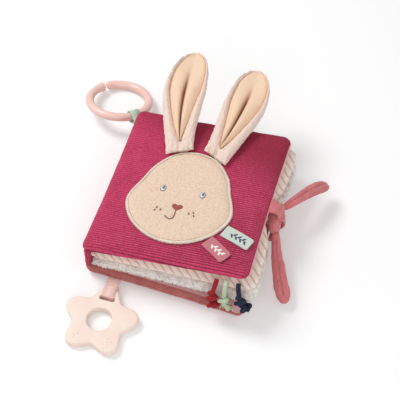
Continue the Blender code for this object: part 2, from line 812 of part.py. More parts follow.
def tie(parent):
    centre = knot_centre()
    loops = []
    for k in range(9):
        turn = math.pi * (k + 0.35) / 8.7
        ring = math.sin(turn)
        pinch = 1 - KNOT_PINCH * math.exp(-((math.cos(turn) * 3) ** 2))
        loop = [
            centre
            + Vector((a * ring * pinch, -KNOT_LENGTH / 2 * math.cos(turn), b * ring * pinch))
            for a, b in oval(KNOT_WIDTH, KNOT_HEIGHT)
        ]
        loops.append(loop)
    body("tie_knot", loops, TIE_ROSE, parent)
    half = STRAP_THICKNESS / 2
    edge = BOOK_WIDTH / 2 + GAP
    cover_seam = FORE_EDGE_STACK - COVER_THICKNESS + COVER_SEAM_HEIGHT
    waist = KNOT_HEIGHT / 2 * (1 - KNOT_PINCH)
    knot_top = centre.z + waist + GAP
    route = [
        (edge, TIE_Y, cover_seam),
        (edge + KNOT_OUT * 0.45, TIE_Y, cover_seam - half),
        (centre.x - half / 2, TIE_Y, (cover_seam + knot_top) / 2),
        (centre.x, TIE_Y, knot_top),
    ]
    across = Vector((0, 1, 0))

    def section(share):
        return strap_section(STRAP_WIDTH * (1 - 0.2 * share), STRAP_THICKNESS)

    body("tie_front_strap", swept(smooth_path(route, 3), section, across), TIE_ROSE, parent)
    knot_foot = centre.z - waist - GAP
    route = [
        (edge, TIE_Y, REAR_SEAM_HEIGHT),
        (edge + KNOT_OUT * 0.5, TIE_Y, REAR_SEAM_HEIGHT + half / 2),
        (centre.x, TIE_Y, (REAR_SEAM_HEIGHT + knot_foot) / 2),
        (centre.x, TIE_Y, knot_foot),
    ]
    body("tie_rear_strap", swept(smooth_path(route, 3), section, across), TIE_ROSE)
    roots = tail_roots()
    axis = hinge("tail_upper_hinge", roots[0], parent)
    reach = TAIL_LENGTH
    route = [roots[0] + Vector(step) * reach for step in TAIL_UPPER_STEP_SHARES]
    tail("tie_tail_upper", route, axis)
    axis = hinge("tail_lower_hinge", roots[1], parent)
    route = [roots[1] + Vector(step) * reach for step in TAIL_LOWER_STEP_SHARES]
    tail("tie_tail_lower", route, axis)


def tail_roots():
    """The tails' axes, just as far from the knot's two ends as a rounded root needs."""
    roots = []
    for (side, up), end in zip(TAIL_ROOT_SHARES, (1, -1)):
        reach = KNOT_LENGTH / 2 * math.sqrt(1 - (2 * side) ** 2 - (2 * up) ** 2)
        out = reach + tail_root_depth() / 2 + TURNING_ROOM
        roots.append(knot_centre() + Vector((KNOT_WIDTH * side, end * out, KNOT_HEIGHT * up)))
    return roots


# Each cord's colour name, its place along the bottom edge, and its route as metres
CORD_ROUTES = {
    "red": [
        (0.0512, -0.0848, 0.0470),
        (0.0510, -0.0896, 0.0443),
        (0.0500, -0.0921, 0.0385),
        (0.0496, -0.0926, 0.0340),
    ],
    "mint": [
        (0.0602, -0.0848, 0.0476),
        (0.0604, -0.0896, 0.0450),
        (0.0603, -0.0921, 0.0395),
        (0.0602, -0.0925, 0.0345),
    ],
    "navy": [
        (0.0715, -0.0848, 0.0482),
        (0.0724, -0.0893, 0.0460),
        (0.0738, -0.0915, 0.0410),
        (0.0745, -0.0920, 0.0365),
    ],
}
CORD_END_STEPS = {
    "red": (0.30, -0.10, -0.95),
    "mint": (0.55, -0.12, -0.83),
    "navy": (0.80, 0.06, -0.60),
}
CORD_FINISHES = {"red": CORD_RED, "mint": CORD_MINT, "navy": CORD_NAVY}
# The knot's width along it, then the loose end's
CORD_KNOT_SHARES = (0.5, 0.92, 1.0, 0.8, 0.45, 0.42, 0.5, 0.55)


def cords(parent):
    for colour, route in CORD_ROUTES.items():
        finish = CORD_FINISHES[colour]
        cord_tube(f"cord_{colour}", route, CORD / 2, finish, parent)
        fall = (Vector(route[-1]) - Vector(route[-2])).normalized()
        start = Vector(route[-1]) + fall * GAP
        middle = start + fall * CORD_KNOT_LENGTH
        end = middle + Vector(CORD_END_STEPS[colour]).normalized() * CORD_END_LENGTH
        path = [start.lerp(middle, k / 4) for k in range(4)]
        path += [middle.lerp(end, k / 3) for k in range(4)]

        def section(share):
            place = round(share * (len(CORD_KNOT_SHARES) - 1))
            size = CORD_KNOT * CORD_KNOT_SHARES[place]
            return oval(size, size, 8)

        body(f"cord_{colour}_knot", swept(path, section, Vector((1, 0, 0))), finish, parent)


def star_frame():
    """The star lies tipped a little, because one tip rests on its ribbon."""
    lift = RIBBON + 2 * GAP
    tip_y = STAR_Y + STAR_TIP_RADIUS
    far_y = STAR_Y - STAR_TIP_RADIUS * math.cos(math.pi / 5)
    tilt = math.atan2(lift, tip_y - far_y)
    return (
        Matrix.Translation((STAR_X, far_y, 0))
        @ Matrix.Rotation(tilt, 4, "X")
        @ Matrix.Translation((0, STAR_Y - far_y, 0))
    )


def star_loop(inset, height):
    mean = (STAR_TIP_RADIUS + STAR_VALLEY_RADIUS) / 2
    swing = (STAR_TIP_RADIUS - STAR_VALLEY_RADIUS) / 2
    loop = []
    for k in range(STAR_STEPS):
        turn = math.pi / 2 + math.tau * k / STAR_STEPS
        radius = mean + swing * math.cos(5 * (turn - math.pi / 2)) - inset
        loop.append((radius * math.cos(turn), radius * math.sin(turn), height))
    return loop


def hole_loop(radius, height):
    turns = [math.pi / 2 + math.tau * k / STAR_STEPS for k in range(STAR_STEPS)]
    return [(radius * math.cos(t), radius * math.sin(t), height) for t in turns]


def star(parent):
    top, edge = STAR_THICKNESS, STAR_EDGE
    hole = STAR_HOLE / 2
    loops = [
        star_loop(edge, 0),
        star_loop(edge * 0.2, edge * 0.6),
        star_loop(0, top / 2),
        star_loop(edge * 0.2, top - edge * 0.6),
        star_loop(edge, top),
        hole_loop(hole + edge / 2, top),
        hole_loop(hole, top - edge / 2),
        hole_loop(hole, edge / 2),
        hole_loop(hole + edge / 2, 0),
    ]
    frame = star_frame()
    made = body("star_teether", loops, SILICONE_PEACH, parent, frame, ring=True)
    half = SLOT_WIDTH / 2
    start = SLOT_FROM_CENTRE
    outline = [(-half, start), (half, start), (half, start + SLOT_LENGTH), (-half, start + SLOT_LENGTH)]
    rows = [[(x, y, z) for x, y in outline] for z in (-top, 2 * top)]
    cutter = body("slot_cutter", rows, SILICONE_PEACH, parent, frame)
    cutter.hide_render = True
    cutter.display_type = "WIRE"
    slot = made.modifiers.new("slot", "BOOLEAN")
    slot.object = cutter
    slot.operation = "DIFFERENCE"
    slot.solver = "EXACT"


def band(outer, inner, width, place):
    """A ribbon bent into a closed loop: an outer and an inner profile, swept across."""
    half = width / 2
    rows = []
    for profile, sign in ((outer, -1), (outer, 1), (inner, 1), (inner, -1)):
        rows.append([place(a, b, sign * half) for a, b in profile])
    return rows


def star_ribbon():
    """The strap from the rear cover's seam, and the loop that goes round the star's tip."""
    edge_y = -BOOK_HEIGHT / 2 - rear_shift(STAR_X + STAR_RIBBON_WIDTH / 2)
    exit_place = Vector((STAR_X, edge_y - TURNING_ROOM, STAR_RIBBON_EXIT))
    book_axis = hinge("star_ribbon_hinge", exit_place)
    loop_y = STAR_Y + STAR_TIP_RADIUS + GAP + RIBBON
    frame = star_frame()
    over = STAR_THICKNESS + GAP
    loop_top = (frame @ Vector((0, STAR_TIP_RADIUS, over))).z
    loop_axis = hinge("star_hinge", Vector((STAR_X, loop_y, loop_top)), "star_ribbon_hinge")
    route = [
        exit_place,
        exit_place.lerp(Vector((STAR_X, loop_y + GAP, loop_top + RIBBON)), 0.5),
        Vector((STAR_X, loop_y + GAP, loop_top + RIBBON)),
    ]

    def section(share):
        return strap_section(STAR_RIBBON_WIDTH, 2 * RIBBON)

    across = Vector((1, 0, 0))
    body("star_ribbon", swept(smooth_path(route, 3), section, across), RIBBON_PINK, book_axis)
    near = SLOT_FROM_CENTRE + SLOT_LENGTH
    inner_y = (near - GAP, STAR_TIP_RADIUS + GAP)
    inner_z = (-GAP, over)
    turn_in = RIBBON

    def profile(low_y, high_y, low_z, high_z, corner):
        return [
            (low_y + corner, low_z),
            (high_y - corner, low_z),
            (high_y, low_z + corner),
            (high_y, high_z - corner),
            (high_y - corner, high_z),
            (low_y + corner, high_z),
            (low_y, high_z - corner),
            (low_y, low_z + corner),
        ]

    inner = profile(*inner_y, *inner_z, turn_in / 2)
    outer = profile(
        inner_y[0] - RIBBON, inner_y[1] + RIBBON, inner_z[0] - RIBBON, inner_z[1] + RIBBON, turn_in
    )
    loops = band(outer, inner, STAR_RIBBON_WIDTH, lambda a, b, c: (c, a, b))
    body("star_ribbon_loop", loops, RIBBON_PINK, loop_axis, frame, ring=True)
    return loop_axis


def ring_frame():
    centre_z = RING_TUBE / 2 + RING_RADIUS * math.sin(RING_TILT)
    return Matrix.Translation((RING_X, RING_Y, centre_z)) @ Matrix.Rotation(-RING_TILT, 4, "X")


def ring_link(parent):
    """An open plastic ring: one end of its slit swells into a small ball."""
    frame = ring_frame()
    radius = RING_TUBE / 2
    gap_turn = RING_SLIT / RING_RADIUS
    start = RING_SLIT_ANGLE + gap_turn / 2
    span = math.tau - gap_turn
    loops = []
    end_turn = radius * 0.5 / RING_RADIUS
    stops = [(0, 0.5), (end_turn * 0.35, 0.85)]
    stops += [(end_turn + (span - 2 * end_turn) * k / RING_STEPS, 1.0) for k in range(RING_STEPS + 1)]
    stops += [(span - end_turn * 0.35, 0.85), (span, 0.5)]
    for turn, size in stops:
        angle = start + turn
        out = Vector((math.cos(angle), math.sin(angle), 0))
        ball = 1 + 0.12 * math.exp(-((turn / (3 * end_turn)) ** 2))
        loop = []
        for k in range(RING_SIDES):
            bend = math.tau * (k + 0.5) / RING_SIDES
            reach = radius * size * ball / math.cos(math.pi / RING_SIDES) * 0.98
            loop.append(
                out * (RING_RADIUS + reach * math.cos(bend)) + Vector((0, 0, reach * math.sin(bend)))
            )
        loops.append(loop)
    body("ring_link", loops, PLASTIC_PINK, parent, frame)


def ring_ribbon():
    """The folded ribbon from the spine's top corner, looped round the ring's tube."""
    frame = ring_frame()
    angle = RING_RIBBON_ANGLE
    hold = frame @ Vector((RING_RADIUS * math.cos(angle), RING_RADIUS * math.sin(angle), 0))
    width_axis = frame.to_3x3() @ Vector((-math.sin(angle), math.cos(angle), 0))
    outer_depth = SPINE_THICKNESS - SPINE_INNER_DEPTH
    rim_share = 0.2
    corner_x = HINGE_X + outer_depth * (1 - roll_height(rim_share))
    corner = Vector((corner_x, BOOK_HEIGHT / 2 - SPINE_ROLL * rim_share, hold.z))
    toward = corner - hold
    toward -= width_axis * toward.dot(width_axis)
    length = toward.length - TURNING_ROOM
    toward.normalize()
    lift = width_axis.cross(toward)
    inner_radius = RING_TUBE / 2 + RING_RIBBON_PLAY
    outer_radius = inner_radius + RIBBON
    wrap = math.tau - 2 * RING_RIBBON_MOUTH
    turns = [RING_RIBBON_MOUTH + wrap * k / 12 for k in range(13)]
    outer = [(outer_radius * math.cos(t), outer_radius * math.sin(t)) for t in turns]
    inner = [(inner_radius * math.cos(t), inner_radius * math.sin(t)) for t in turns]
    outer += [(length, -RIBBON), (length, RIBBON)]
    inner += [(length - outer_radius / 2, -GAP), (length - outer_radius / 2, GAP)]

    def place(a, b, c):
        return hold + toward * a + lift * b + width_axis * c

    root = place(length, 0, 0)
    book_axis = hinge("ring_ribbon_hinge", root)
    loops = band(outer, inner, RING_RIBBON_WIDTH, place)
    body("ring_ribbon", loops, RIBBON_MINT, book_axis, ring=True)
    return hinge("ring_hinge", hold, "ring_ribbon_hinge")


def build():
    clear_scene()
    rear_cover()
    spine()
    cover_axis = hinge("front_cover_hinge", COVER_PLANE.translation.copy())
    front_cover(cover_axis)
    plush = hinge("leaf_2_hinge", leaf_axis(2))
    leaf(2, PLUSH_WHITE, PLUSH_WHITE, plush)
    ribbed = hinge("leaf_1_hinge", leaf_axis(1))
    leaf(1, RIBBED_PINK, PALE_PINK, ribbed)
    head(cover_axis)
    features(cover_axis)
    ears(cover_axis)
    labels(cover_axis)
    tie(cover_axis)
    cords(ribbed)
    star(star_ribbon())
    ring_link(ring_ribbon())
    for name, frame in frames.items():
        print("joint place", name, [round(value, 6) for value in frame.translation])


build()
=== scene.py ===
import json
import math
import random

import bmesh
import bpy
import numpy as np
from mathutils import Matrix, Vector, noise


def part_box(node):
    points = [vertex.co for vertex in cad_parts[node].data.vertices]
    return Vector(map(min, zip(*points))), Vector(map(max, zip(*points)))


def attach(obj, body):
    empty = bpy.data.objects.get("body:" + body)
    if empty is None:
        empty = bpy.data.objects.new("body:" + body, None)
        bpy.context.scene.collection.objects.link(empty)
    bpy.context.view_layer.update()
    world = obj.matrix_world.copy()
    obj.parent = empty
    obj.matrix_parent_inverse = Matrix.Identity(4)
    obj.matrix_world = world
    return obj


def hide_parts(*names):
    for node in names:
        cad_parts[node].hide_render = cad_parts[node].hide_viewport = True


# The looks of a crinkle cloth book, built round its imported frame. Metres, +Z up.
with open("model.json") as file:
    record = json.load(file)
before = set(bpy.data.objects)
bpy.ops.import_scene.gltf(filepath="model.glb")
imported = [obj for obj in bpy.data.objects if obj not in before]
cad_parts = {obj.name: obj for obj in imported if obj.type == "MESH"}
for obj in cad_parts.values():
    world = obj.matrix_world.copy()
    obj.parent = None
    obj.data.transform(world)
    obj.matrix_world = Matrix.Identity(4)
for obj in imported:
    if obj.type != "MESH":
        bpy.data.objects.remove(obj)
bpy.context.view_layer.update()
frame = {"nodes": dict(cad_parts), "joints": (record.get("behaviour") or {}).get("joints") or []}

# Clearances and thread sizes
GAP = 0.0003
FINE = 0.0016
SEAM_THREAD = 0.00045

# Colours as 8-bit sRGB
LINING_PINK = (238, 190, 190)
ROSE = (206, 126, 120)
TIE_ROSE = (224, 130, 132)
BEIGE = (255, 231, 209)
CREAM = (255, 246, 234)
FLEECE = (255, 233, 220)
TAN = (255, 222, 192)
CREASE_SHADE = (176, 112, 80)
PLUSH = (255, 253, 247)
RIB_PINK = (255, 236, 224)
RIB_GROOVE_SHADE = (208, 158, 146)
TERRACOTTA = (178, 92, 82)
WHISKER = (92, 62, 58)
MINT = (221, 229, 218)
NAVY = (30, 38, 88)
LABEL_ROSE = (216, 132, 140)
WHITE = (252, 248, 246)
RED = (206, 18, 38)
CORD_MINT = (228, 238, 212)
CORD_NAVY = (26, 32, 78)
SATIN_ROSE = (255, 222, 214)
SATIN_MINT = (204, 232, 208)
PEACH = (252, 232, 220)
RING_PINK = (249, 208, 198)


def linear(colour):
    """An 8-bit sRGB colour as the linear colour that a shader takes."""
    shares = [value / 255 for value in colour]
    return tuple(s / 12.92 if s <= 0.04045 else ((s + 0.055) / 1.055) ** 2.4 for s in shares) + (1,)


# Shaders


class Value:
    """A shader socket that takes part in sums."""

    def __init__(self, finish, socket):
        self.finish = finish
        self.socket = socket

    def sum(self, operation, *values):
        return self.finish.node("ShaderNodeMath", {"operation": operation}, dict(enumerate(values)))

    def __add__(self, other):
        return self.sum("ADD", self, other)

    __radd__ = __add__

    def __sub__(self, other):
        return self.sum("SUBTRACT", self, other)

    def __rsub__(self, other):
        return self.sum("SUBTRACT", other, self)

    def __mul__(self, other):
        return self.sum("MULTIPLY", self, other)

    __rmul__ = __mul__

    def __truediv__(self, other):
        return self.sum("DIVIDE", self, other)

    def __pow__(self, other):
        return self.sum("POWER", self, other)

    def __abs__(self):
        return self.sum("ABSOLUTE", self)

    def wave(self):
        """A sine, moved to run from 0 to 1."""
        return self.sum("SINE", self) * 0.5 + 0.5

    def between(self, low, high):
        """0 below low, 1 above high, smooth between them."""
        settings = {"interpolation_type": "SMOOTHSTEP", "clamp": True}
        inputs = {"Value": self, "From Min": low, "From Max": high}
        return self.finish.node("ShaderNodeMapRange", settings, inputs)


class Finish:
    """A procedural material."""

    def __init__(self, name, roughness=0.9, sheen=0.0, coat=0.0):
        self.material = bpy.data.materials.new(name)
        self.material.use_nodes = True
        self.tree = self.material.node_tree
        self.shader = self.tree.nodes["Principled BSDF"]
        self.shader.inputs["Roughness"].default_value = roughness
        self.shader.inputs["Sheen Weight"].default_value = sheen
        self.shader.inputs["Coat Weight"].default_value = coat
        self.place = self.node("ShaderNodeTexCoord", output="Object")

    def node(self, kind, settings=None, inputs=None, output=0):
        made = self.tree.nodes.new(kind)
        for key, value in (settings or {}).items():
            setattr(made, key, value)
        for key, value in (inputs or {}).items():
            if isinstance(value, Value):
                self.tree.links.new(value.socket, made.inputs[key])
            else:
                made.inputs[key].default_value = value
        return Value(self, made.outputs[output])

    def along(self, direction, place=None):
        """How far a point lies along a direction, in metres."""
        inputs = {0: place or self.place, 1: tuple(direction)}
        return self.node("ShaderNodeVectorMath", {"operation": "DOT_PRODUCT"}, inputs, "Value")

    def speckle(self, size, detail=2.0, stretch=(1, 1, 1), place=None):
        """Noise from 0 to 1 with lumps of about the given size."""
        inputs = {0: place or self.place, 1: stretch}
        spread = self.node("ShaderNodeVectorMath", {"operation": "MULTIPLY"}, inputs)
        return self.node("ShaderNodeTexNoise", None, {"Vector": spread, "Scale": 1 / size, "Detail": detail})

    def cells(self, size):
        return self.node("ShaderNodeTexVoronoi", None, {"Vector": self.place, "Scale": 1 / size})

    def mark(self, name):
        """A number that the mesh carries at each point."""
        return self.node("ShaderNodeAttribute", {"attribute_name": name}, output="Fac")

    def blend(self, share, first, second):
        """Runs from the first colour to the second."""
        ends = [c if isinstance(c, Value) else linear(c) for c in (first, second)]
        return self.node("ShaderNodeMix", {"data_type": "RGBA"}, {0: share, 6: ends[0], 7: ends[1]}, 2)

    def colour(self, value):
        if isinstance(value, Value):
            self.tree.links.new(value.socket, self.shader.inputs["Base Color"])
        else:
            self.shader.inputs["Base Color"].default_value = linear(value)

    def relief(self, height, depth, strength=1.0):
        """Bumps: a height from 0 to 1, times a depth in metres."""
        inputs = {"Strength": strength, "Distance": depth, "Height": height}
        normal = self.node("ShaderNodeBump", None, inputs)
        self.tree.links.new(normal.socket, self.shader.inputs["Normal"])


# Corduroy colours: its own two tones, a painted highlight for the ridges, painted shade for the grooves and
# a painted shadow of the ears.
CORDUROY = {
    "light": ((174, 30, 72), (202, 50, 94)),
    "ridge": (218, 82, 122),
    "groove": ((166, 34, 74), (120, 10, 40)),
    # Painted shadow of the ears at the back of the cover.
    "painted_ear_shadow": (126, 10, 36),
}
RIB_STEP = 0.00235


def corduroy():
    """Fine ribs that run along X, with a soft nap. The ridges carry a painted highlight and the grooves
    painted shade, deepest towards the front right edge; the back of the cover carries a painted shadow of
    the ears.
    """
    finish = Finish("raspberry_corduroy", 0.94, sheen=0.04)
    drift = finish.speckle(0.03, 1) * 0.0009
    turn = (finish.along((0, 1, 0)) + drift) * (math.tau / RIB_STEP)
    rib = turn.wave() ** 0.7
    nap = finish.speckle(0.0011, 3)
    worn = finish.speckle(0.011, 2)
    # How deep the grooves' painted shade and the ribs' relief go: most towards the front right edge.
    clear = (finish.along((0.75, -1, 0)) + worn * 0.04).between(-0.03, 0.12)
    light = finish.blend(worn.between(0.3, 0.7), *CORDUROY["light"])
    # Ridges painted lighter and grooves painted darker: painted light and shade across the ribs.
    ridge = finish.blend(nap.between(0.35, 0.7), light, CORDUROY["ridge"])
    groove = finish.blend(clear, *CORDUROY["groove"])
    cloth = finish.blend(rib.between(0.02, 0.55), groove, ridge)
    # Painted shadow of the ears, darkening the back of the cover.
    painted_ear_shadow = (finish.along((0.35, 1, 0)) + worn * 0.03).between(0.04, 0.10)
    finish.colour(finish.blend(painted_ear_shadow * 0.7, cloth, CORDUROY["painted_ear_shadow"]))
    finish.relief(rib * (clear * 0.6 + 0.25) + nap * 0.4, 0.0007)
    return finish.material


def velour(name, colour, shade, sheen=0.3, grain=0.0012):
    """A short, dense pile that lies in soft patches."""
    finish = Finish(name, 0.95, sheen=sheen)
    pile = finish.speckle(grain, 3)
    patch = finish.speckle(grain * 9, 2)
    share = (pile * 0.6 + patch * 0.4).between(0.3, 0.7)
    finish.colour(finish.blend(share, shade, colour))
    finish.relief(pile, grain * 0.4)
    return finish.material


def terry(name, colour, shade, loop=0.0019):
    """Short loops that catch the light one by one, with painted shade in the hollows between them."""
    finish = Finish(name, 0.96, sheen=0.15)
    loops = finish.cells(loop)
    fuzz = finish.speckle(loop * 0.45, 3)
    height = (1 - loops) * 0.6 + fuzz * 0.7
    finish.colour(finish.blend(height.between(0.35, 0.95), shade, colour))
    finish.relief(height, loop * 0.6)
    return finish.material


def shaded_cloth(name, colour, shade, mark, grain=0.0010):
    """A cloth with painted shade where the mesh's mark says, in creases and between ribs."""
    finish = Finish(name, 0.94, sheen=0.2)
    pile = finish.speckle(grain, 3)
    deep = (finish.mark(mark) + (pile - 0.5) * 0.2).between(0.05, 0.95)
    lit = finish.blend(pile.between(0.25, 0.75), tuple(round(c * 0.94) for c in colour), colour)
    finish.colour(finish.blend(deep, lit, shade))
    finish.relief(pile, grain * 0.35)
    return finish.material


def plush(name, colour, shade):
    """Long fluffy pile in clumps, with painted shade low between the clumps."""
    finish = Finish(name, 0.97, sheen=0.2)
    clump = finish.speckle(0.0042, 3, (1, 1, 0.5))
    hair = finish.speckle(0.0010, 3, (1, 1, 0.35))
    height = clump * 0.65 + hair * 0.35
    finish.colour(finish.blend(height.between(0.32, 0.6), shade, colour))
    finish.relief(height, 0.0016)
    return finish.material


SATIN_THREAD = 0.0011
BRAID_STRAND = 0.0024


def satin(name, colour, shade, direction):
    """A glossy woven ribbon with slanted threads."""
    finish = Finish(name, 0.38, sheen=0.3)
    thread = (finish.along(direction) * (math.tau / SATIN_THREAD)).wave()
    finish.colour(finish.blend(thread.between(0.1, 0.8), shade, colour))
    finish.relief(thread, 0.00012)
    return finish.material


def braid(name, colour, shade):
    """A round braided cord, with painted shade between its strands."""
    finish = Finish(name, 0.9, sheen=0.04)
    up = finish.along((0, 0.35, 1)) * (math.tau / BRAID_STRAND)
    side = finish.along((1, 0.3, 0)) * (math.tau / BRAID_STRAND)
    strand = (up + side).wave() * (up - side).wave()
    finish.colour(finish.blend(strand.between(0.02, 0.5), shade, colour))
    finish.relief(strand, 0.0004)
    return finish.material


def silicone():
    """Soft matte silicone with a faint bloom."""
    finish = Finish("peach_silicone", 0.5)
    bloom = finish.speckle(0.016, 2)
    finish.colour(finish.blend(bloom.between(0.3, 0.7), (250, 227, 214), PEACH))
    finish.relief(finish.speckle(0.0007, 2), 0.00004)
    finish.shader.inputs["Subsurface Weight"].default_value = 0.12
    finish.shader.inputs["Subsurface Scale"].default_value = 0.004
    return finish.material


def ring_plastic():
    """Glossy moulded plastic with slight flow marks."""
    finish = Finish("pink_plastic", 0.26, coat=0.25)
    flow = finish.speckle(0.02, 2)
    finish.colour(finish.blend(flow.between(0.3, 0.7), (246, 201, 190), RING_PINK))
    finish.relief(flow, 0.00015)
    return finish.material


# Shapes


def in_scene(name, data):
    """A new object for the data, linked to the scene."""
    made = bpy.data.objects.new(name, data)
    bpy.context.scene.collection.objects.link(made)
    return made


def full_turn(count):
    return np.linspace(0, math.tau, count, endpoint=False)


def inward(rows):
    """Shares of the way from a pad's middle to its rim, closer together at the rim."""
    return np.sin(np.linspace(0, math.pi / 2, rows + 1)[1:])[:, None]


def joint_place(name):
    return Vector(next(joint["pos_m"] for joint in frame["joints"] if joint["name"] == name))


def local_box(node, plane):
    """A node's corners, measured in a tilted plane."""
    points = [plane.inverted() @ vertex.co for vertex in frame["nodes"][node].data.vertices]
    low = Vector(min(p[i] for p in points) for i in range(3))
    high = Vector(max(p[i] for p in points) for i in range(3))
    return low, high


def swarm(points, size, seed):
    """Smooth noise from -1 to 1 at each point."""
    shift = Vector((seed * 7.3, seed * 3.1, seed * 5.7))
    flat = np.asarray(points).reshape(-1, 3)
    values = [noise.noise(Vector(point) / size + shift) for point in flat]
    return np.array(values).reshape(np.asarray(points).shape[:-1]) * 2


def shell(name, rings, material, closed=False, marks=None, place=None):
    """One closed mesh through equal rings, with a middle point at each end unless it is closed on itself."""
    rings = np.asarray(rings, float)
    rows, count = rings.shape[:2]
    points = rings.reshape(-1, 3)
    faces = []
    last = rows if closed else rows - 1
    for row in range(last):
        low, high = row * count, (row + 1) % rows * count
        for i in range(count):
            j = (i + 1) % count
            faces.append((low + i, low + j, high + j, high + i))
    if not closed:
        points = np.vstack([points, rings[0].mean(0), rings[-1].mean(0)])
        for i in range(count):
            j = (i + 1) % count
            end = (rows - 1) * count
            faces.append((j, i, rows * count))
            faces.append((end + i, end + j, rows * count + 1))
    data = bpy.data.meshes.new(name)
    data.from_pydata([tuple(point) for point in points], [], faces)
    if place is not None:
        data.transform(place)
    for key, values in (marks or {}).items():
        carried = data.attributes.new(key, "FLOAT", "POINT")
        numbers = np.zeros(len(points), np.float32)
        numbers[: rows * count] = np.asarray(values, float).reshape(-1)
        carried.data.foreach_set("value", numbers)
    tidy = bmesh.new()
    tidy.from_mesh(data)
    bmesh.ops.recalc_face_normals(tidy, faces=tidy.faces)
    tidy.to_mesh(data)
    tidy.free()
    data.shade_smooth()
    data.materials.append(material)
    return in_scene(name, data)


def settle(piece, body, replaced=()):
    """Puts a finished piece on its CAD body, in place of the nodes that it stands for."""
    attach(piece, body)
    if replaced:
        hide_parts(*replaced)
    return piece


def evenly(points, count, closed=True):
    """The same line with its points at equal steps."""
    points = np.asarray(points, float)
    if closed:
        points = np.vstack([points, points[:1]])
    steps = np.linalg.norm(np.diff(points, axis=0), axis=1)
    length = np.concatenate([[0], np.cumsum(steps)])
    wanted = np.linspace(0, length[-1], count, endpoint=not closed)
    return np.stack([np.interp(wanted, length, points[:, k]) for k in range(points.shape[1])], 1)


def line_length(path):
    return sum((Vector(b) - Vector(a)).length for a, b in zip(path, path[1:]))


def curve_through(points, steps, closed=False):
    """A Catmull-Rom curve through the given points."""
    knots = [Vector(point) for point in points]
    if closed:
        knots = [knots[-1]] + knots + knots[:2]
    else:
        knots = [2 * knots[0] - knots[1]] + knots + [2 * knots[-1] - knots[-2]]
    path = []
    for before, start, end, after in zip(knots, knots[1:], knots[2:], knots[3:]):
        for step in range(steps):
            t = step / steps
            bend = (2 * before - 5 * start + 4 * end - after) * t**2
            twist = (3 * start - before - 3 * end + after) * t**3
            path.append(0.5 * (2 * start + (end - before) * t + bend + twist))
    if not closed:
        path.append(knots[-2])
    return path


def rounded_outline(half_x, half_y, corner, count, near=None):
    """A rounded rectangle's rim, in equal steps. The two corners at -X may differ."""
    points = []
    for quarter in range(4):
        sign_x = 1 if quarter in (0, 3) else -1
        sign_y = 1 if quarter in (0, 1) else -1
        radius = corner if sign_x > 0 or near is None else near
        for step in range(9):
            turn = math.pi / 2 * (quarter + step / 8)
            x = sign_x * (half_x - radius) + radius * math.cos(turn)
            points.append((x, sign_y * (half_y - radius) + radius * math.sin(turn)))
    return evenly(points, count)


def rim_distance(x, y, half_x, half_y, corner):
    """How far inside a rounded rectangle each point lies."""
    over_x = np.abs(x) - (half_x - corner)
    over_y = np.abs(y) - (half_y - corner)
    outside = np.hypot(np.maximum(over_x, 0), np.maximum(over_y, 0))
    return corner - outside - np.minimum(np.maximum(over_x, over_y), 0)


def rolled(share):
    """Height of a rolled edge at a share of the way in from the rim."""
    return np.sqrt(np.clip(1 - (1 - np.clip(share, 0, 1)) ** 2, 0, 1))


def tube(path, section, up=(0, 0, 1)):
    """Rings along a path. section(share) gives (side, up) pairs."""
    path = [Vector(point) for point in path]
    rings = []
    count = len(path)
    for i, point in enumerate(path):
        ahead = (path[min(i + 1, count - 1)] - path[max(i - 1, 0)]).normalized()
        side = ahead.cross(Vector(up)).normalized()
        lift = side.cross(ahead)
        rings.append([point + side * a + lift * b for a, b in section(i / (count - 1))])
    return rings


def round_section(radius, sides=10):
    turns = [math.tau * k / sides for k in range(sides)]
    return [(radius * math.cos(t), radius * math.sin(t)) for t in turns]


def loose_tube(name, path, radius, material, sides=8, up=(0, 0, 1)):
    return shell(name, tube(path, lambda share: round_section(radius, sides), up), material)


def joined(name, parts, material, place=None):
    """Many small closed shapes as one piece. Each part is (points, faces)."""
    points, faces = [], []
    for part_points, part_faces in parts:
        start = len(points)
        points += [tuple(point) for point in part_points]
        faces += [tuple(start + index for index in face) for face in part_faces]
    data = bpy.data.meshes.new(name)
    data.from_pydata(points, [], faces)
    if place is not None:
        data.transform(place)
    data.shade_smooth()
    data.materials.append(material)
    return in_scene(name, data)


def capped(rings):
    """Points and faces of a small tube with both ends closed."""
    sides, rows = len(rings[0]), len(rings)
    points = [point for ring in rings for point in ring]
    last = sides * (rows - 1)
    faces = [tuple(range(sides)), tuple(last + i for i in reversed(range(sides)))]
    for row in range(rows - 1):
        for i in range(sides):
            j = (i + 1) % sides
            low, high = sides * row, sides * (row + 1)
            faces.append((low + j, low + i, high + i, high + j))
    return points, faces


def stitch(start, end, radius, arch):
    """One thread stitch: a small four-sided tube that rises in its middle."""
    start, end, arch = Vector(start), Vector(end), Vector(arch)
    path = [start, start.lerp(end, 0.3) + arch * 0.8, start.lerp(end, 0.7) + arch * 0.8, end]
    section = lambda share: round_section(radius * (0.6 + 0.4 * math.sin(math.pi * share)), 4)
    return capped(tube(path, section, arch))


# Places that the frame gives

hinge_place = joint_place("front_cover_hinge")
slope = joint_place("ear_right_hinge") - joint_place("ear_left_hinge")
COVER_TILT = math.atan2(slope.z, slope.x)
COVER_PLANE = Matrix.Translation(hinge_place) @ Matrix.Rotation(-COVER_TILT, 4, "Y")
head_low, head_high = local_box("head_plush", COVER_PLANE)
cover_high = local_box("front_cover_cloth", COVER_PLANE)[1]
FACE_PLANE = COVER_PLANE @ Matrix.Translation(
    ((head_low.x + head_high.x) / 2, (head_low.y + head_high.y) / 2, cover_high.z)
)
tie_middle = (Vector(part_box("tie_knot")[0]) + Vector(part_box("tie_knot")[1])) / 2

# The camera and the cords

CAMERA_AIM = (0.00227, 0.02736, 0)
CAMERA_AZIMUTH = math.radians(16.42)
CAMERA_RISE = math.radians(54.29)
CAMERA_DISTANCE = 1.100
CAMERA_LENS = 99
CAMERA_SENSOR = 36


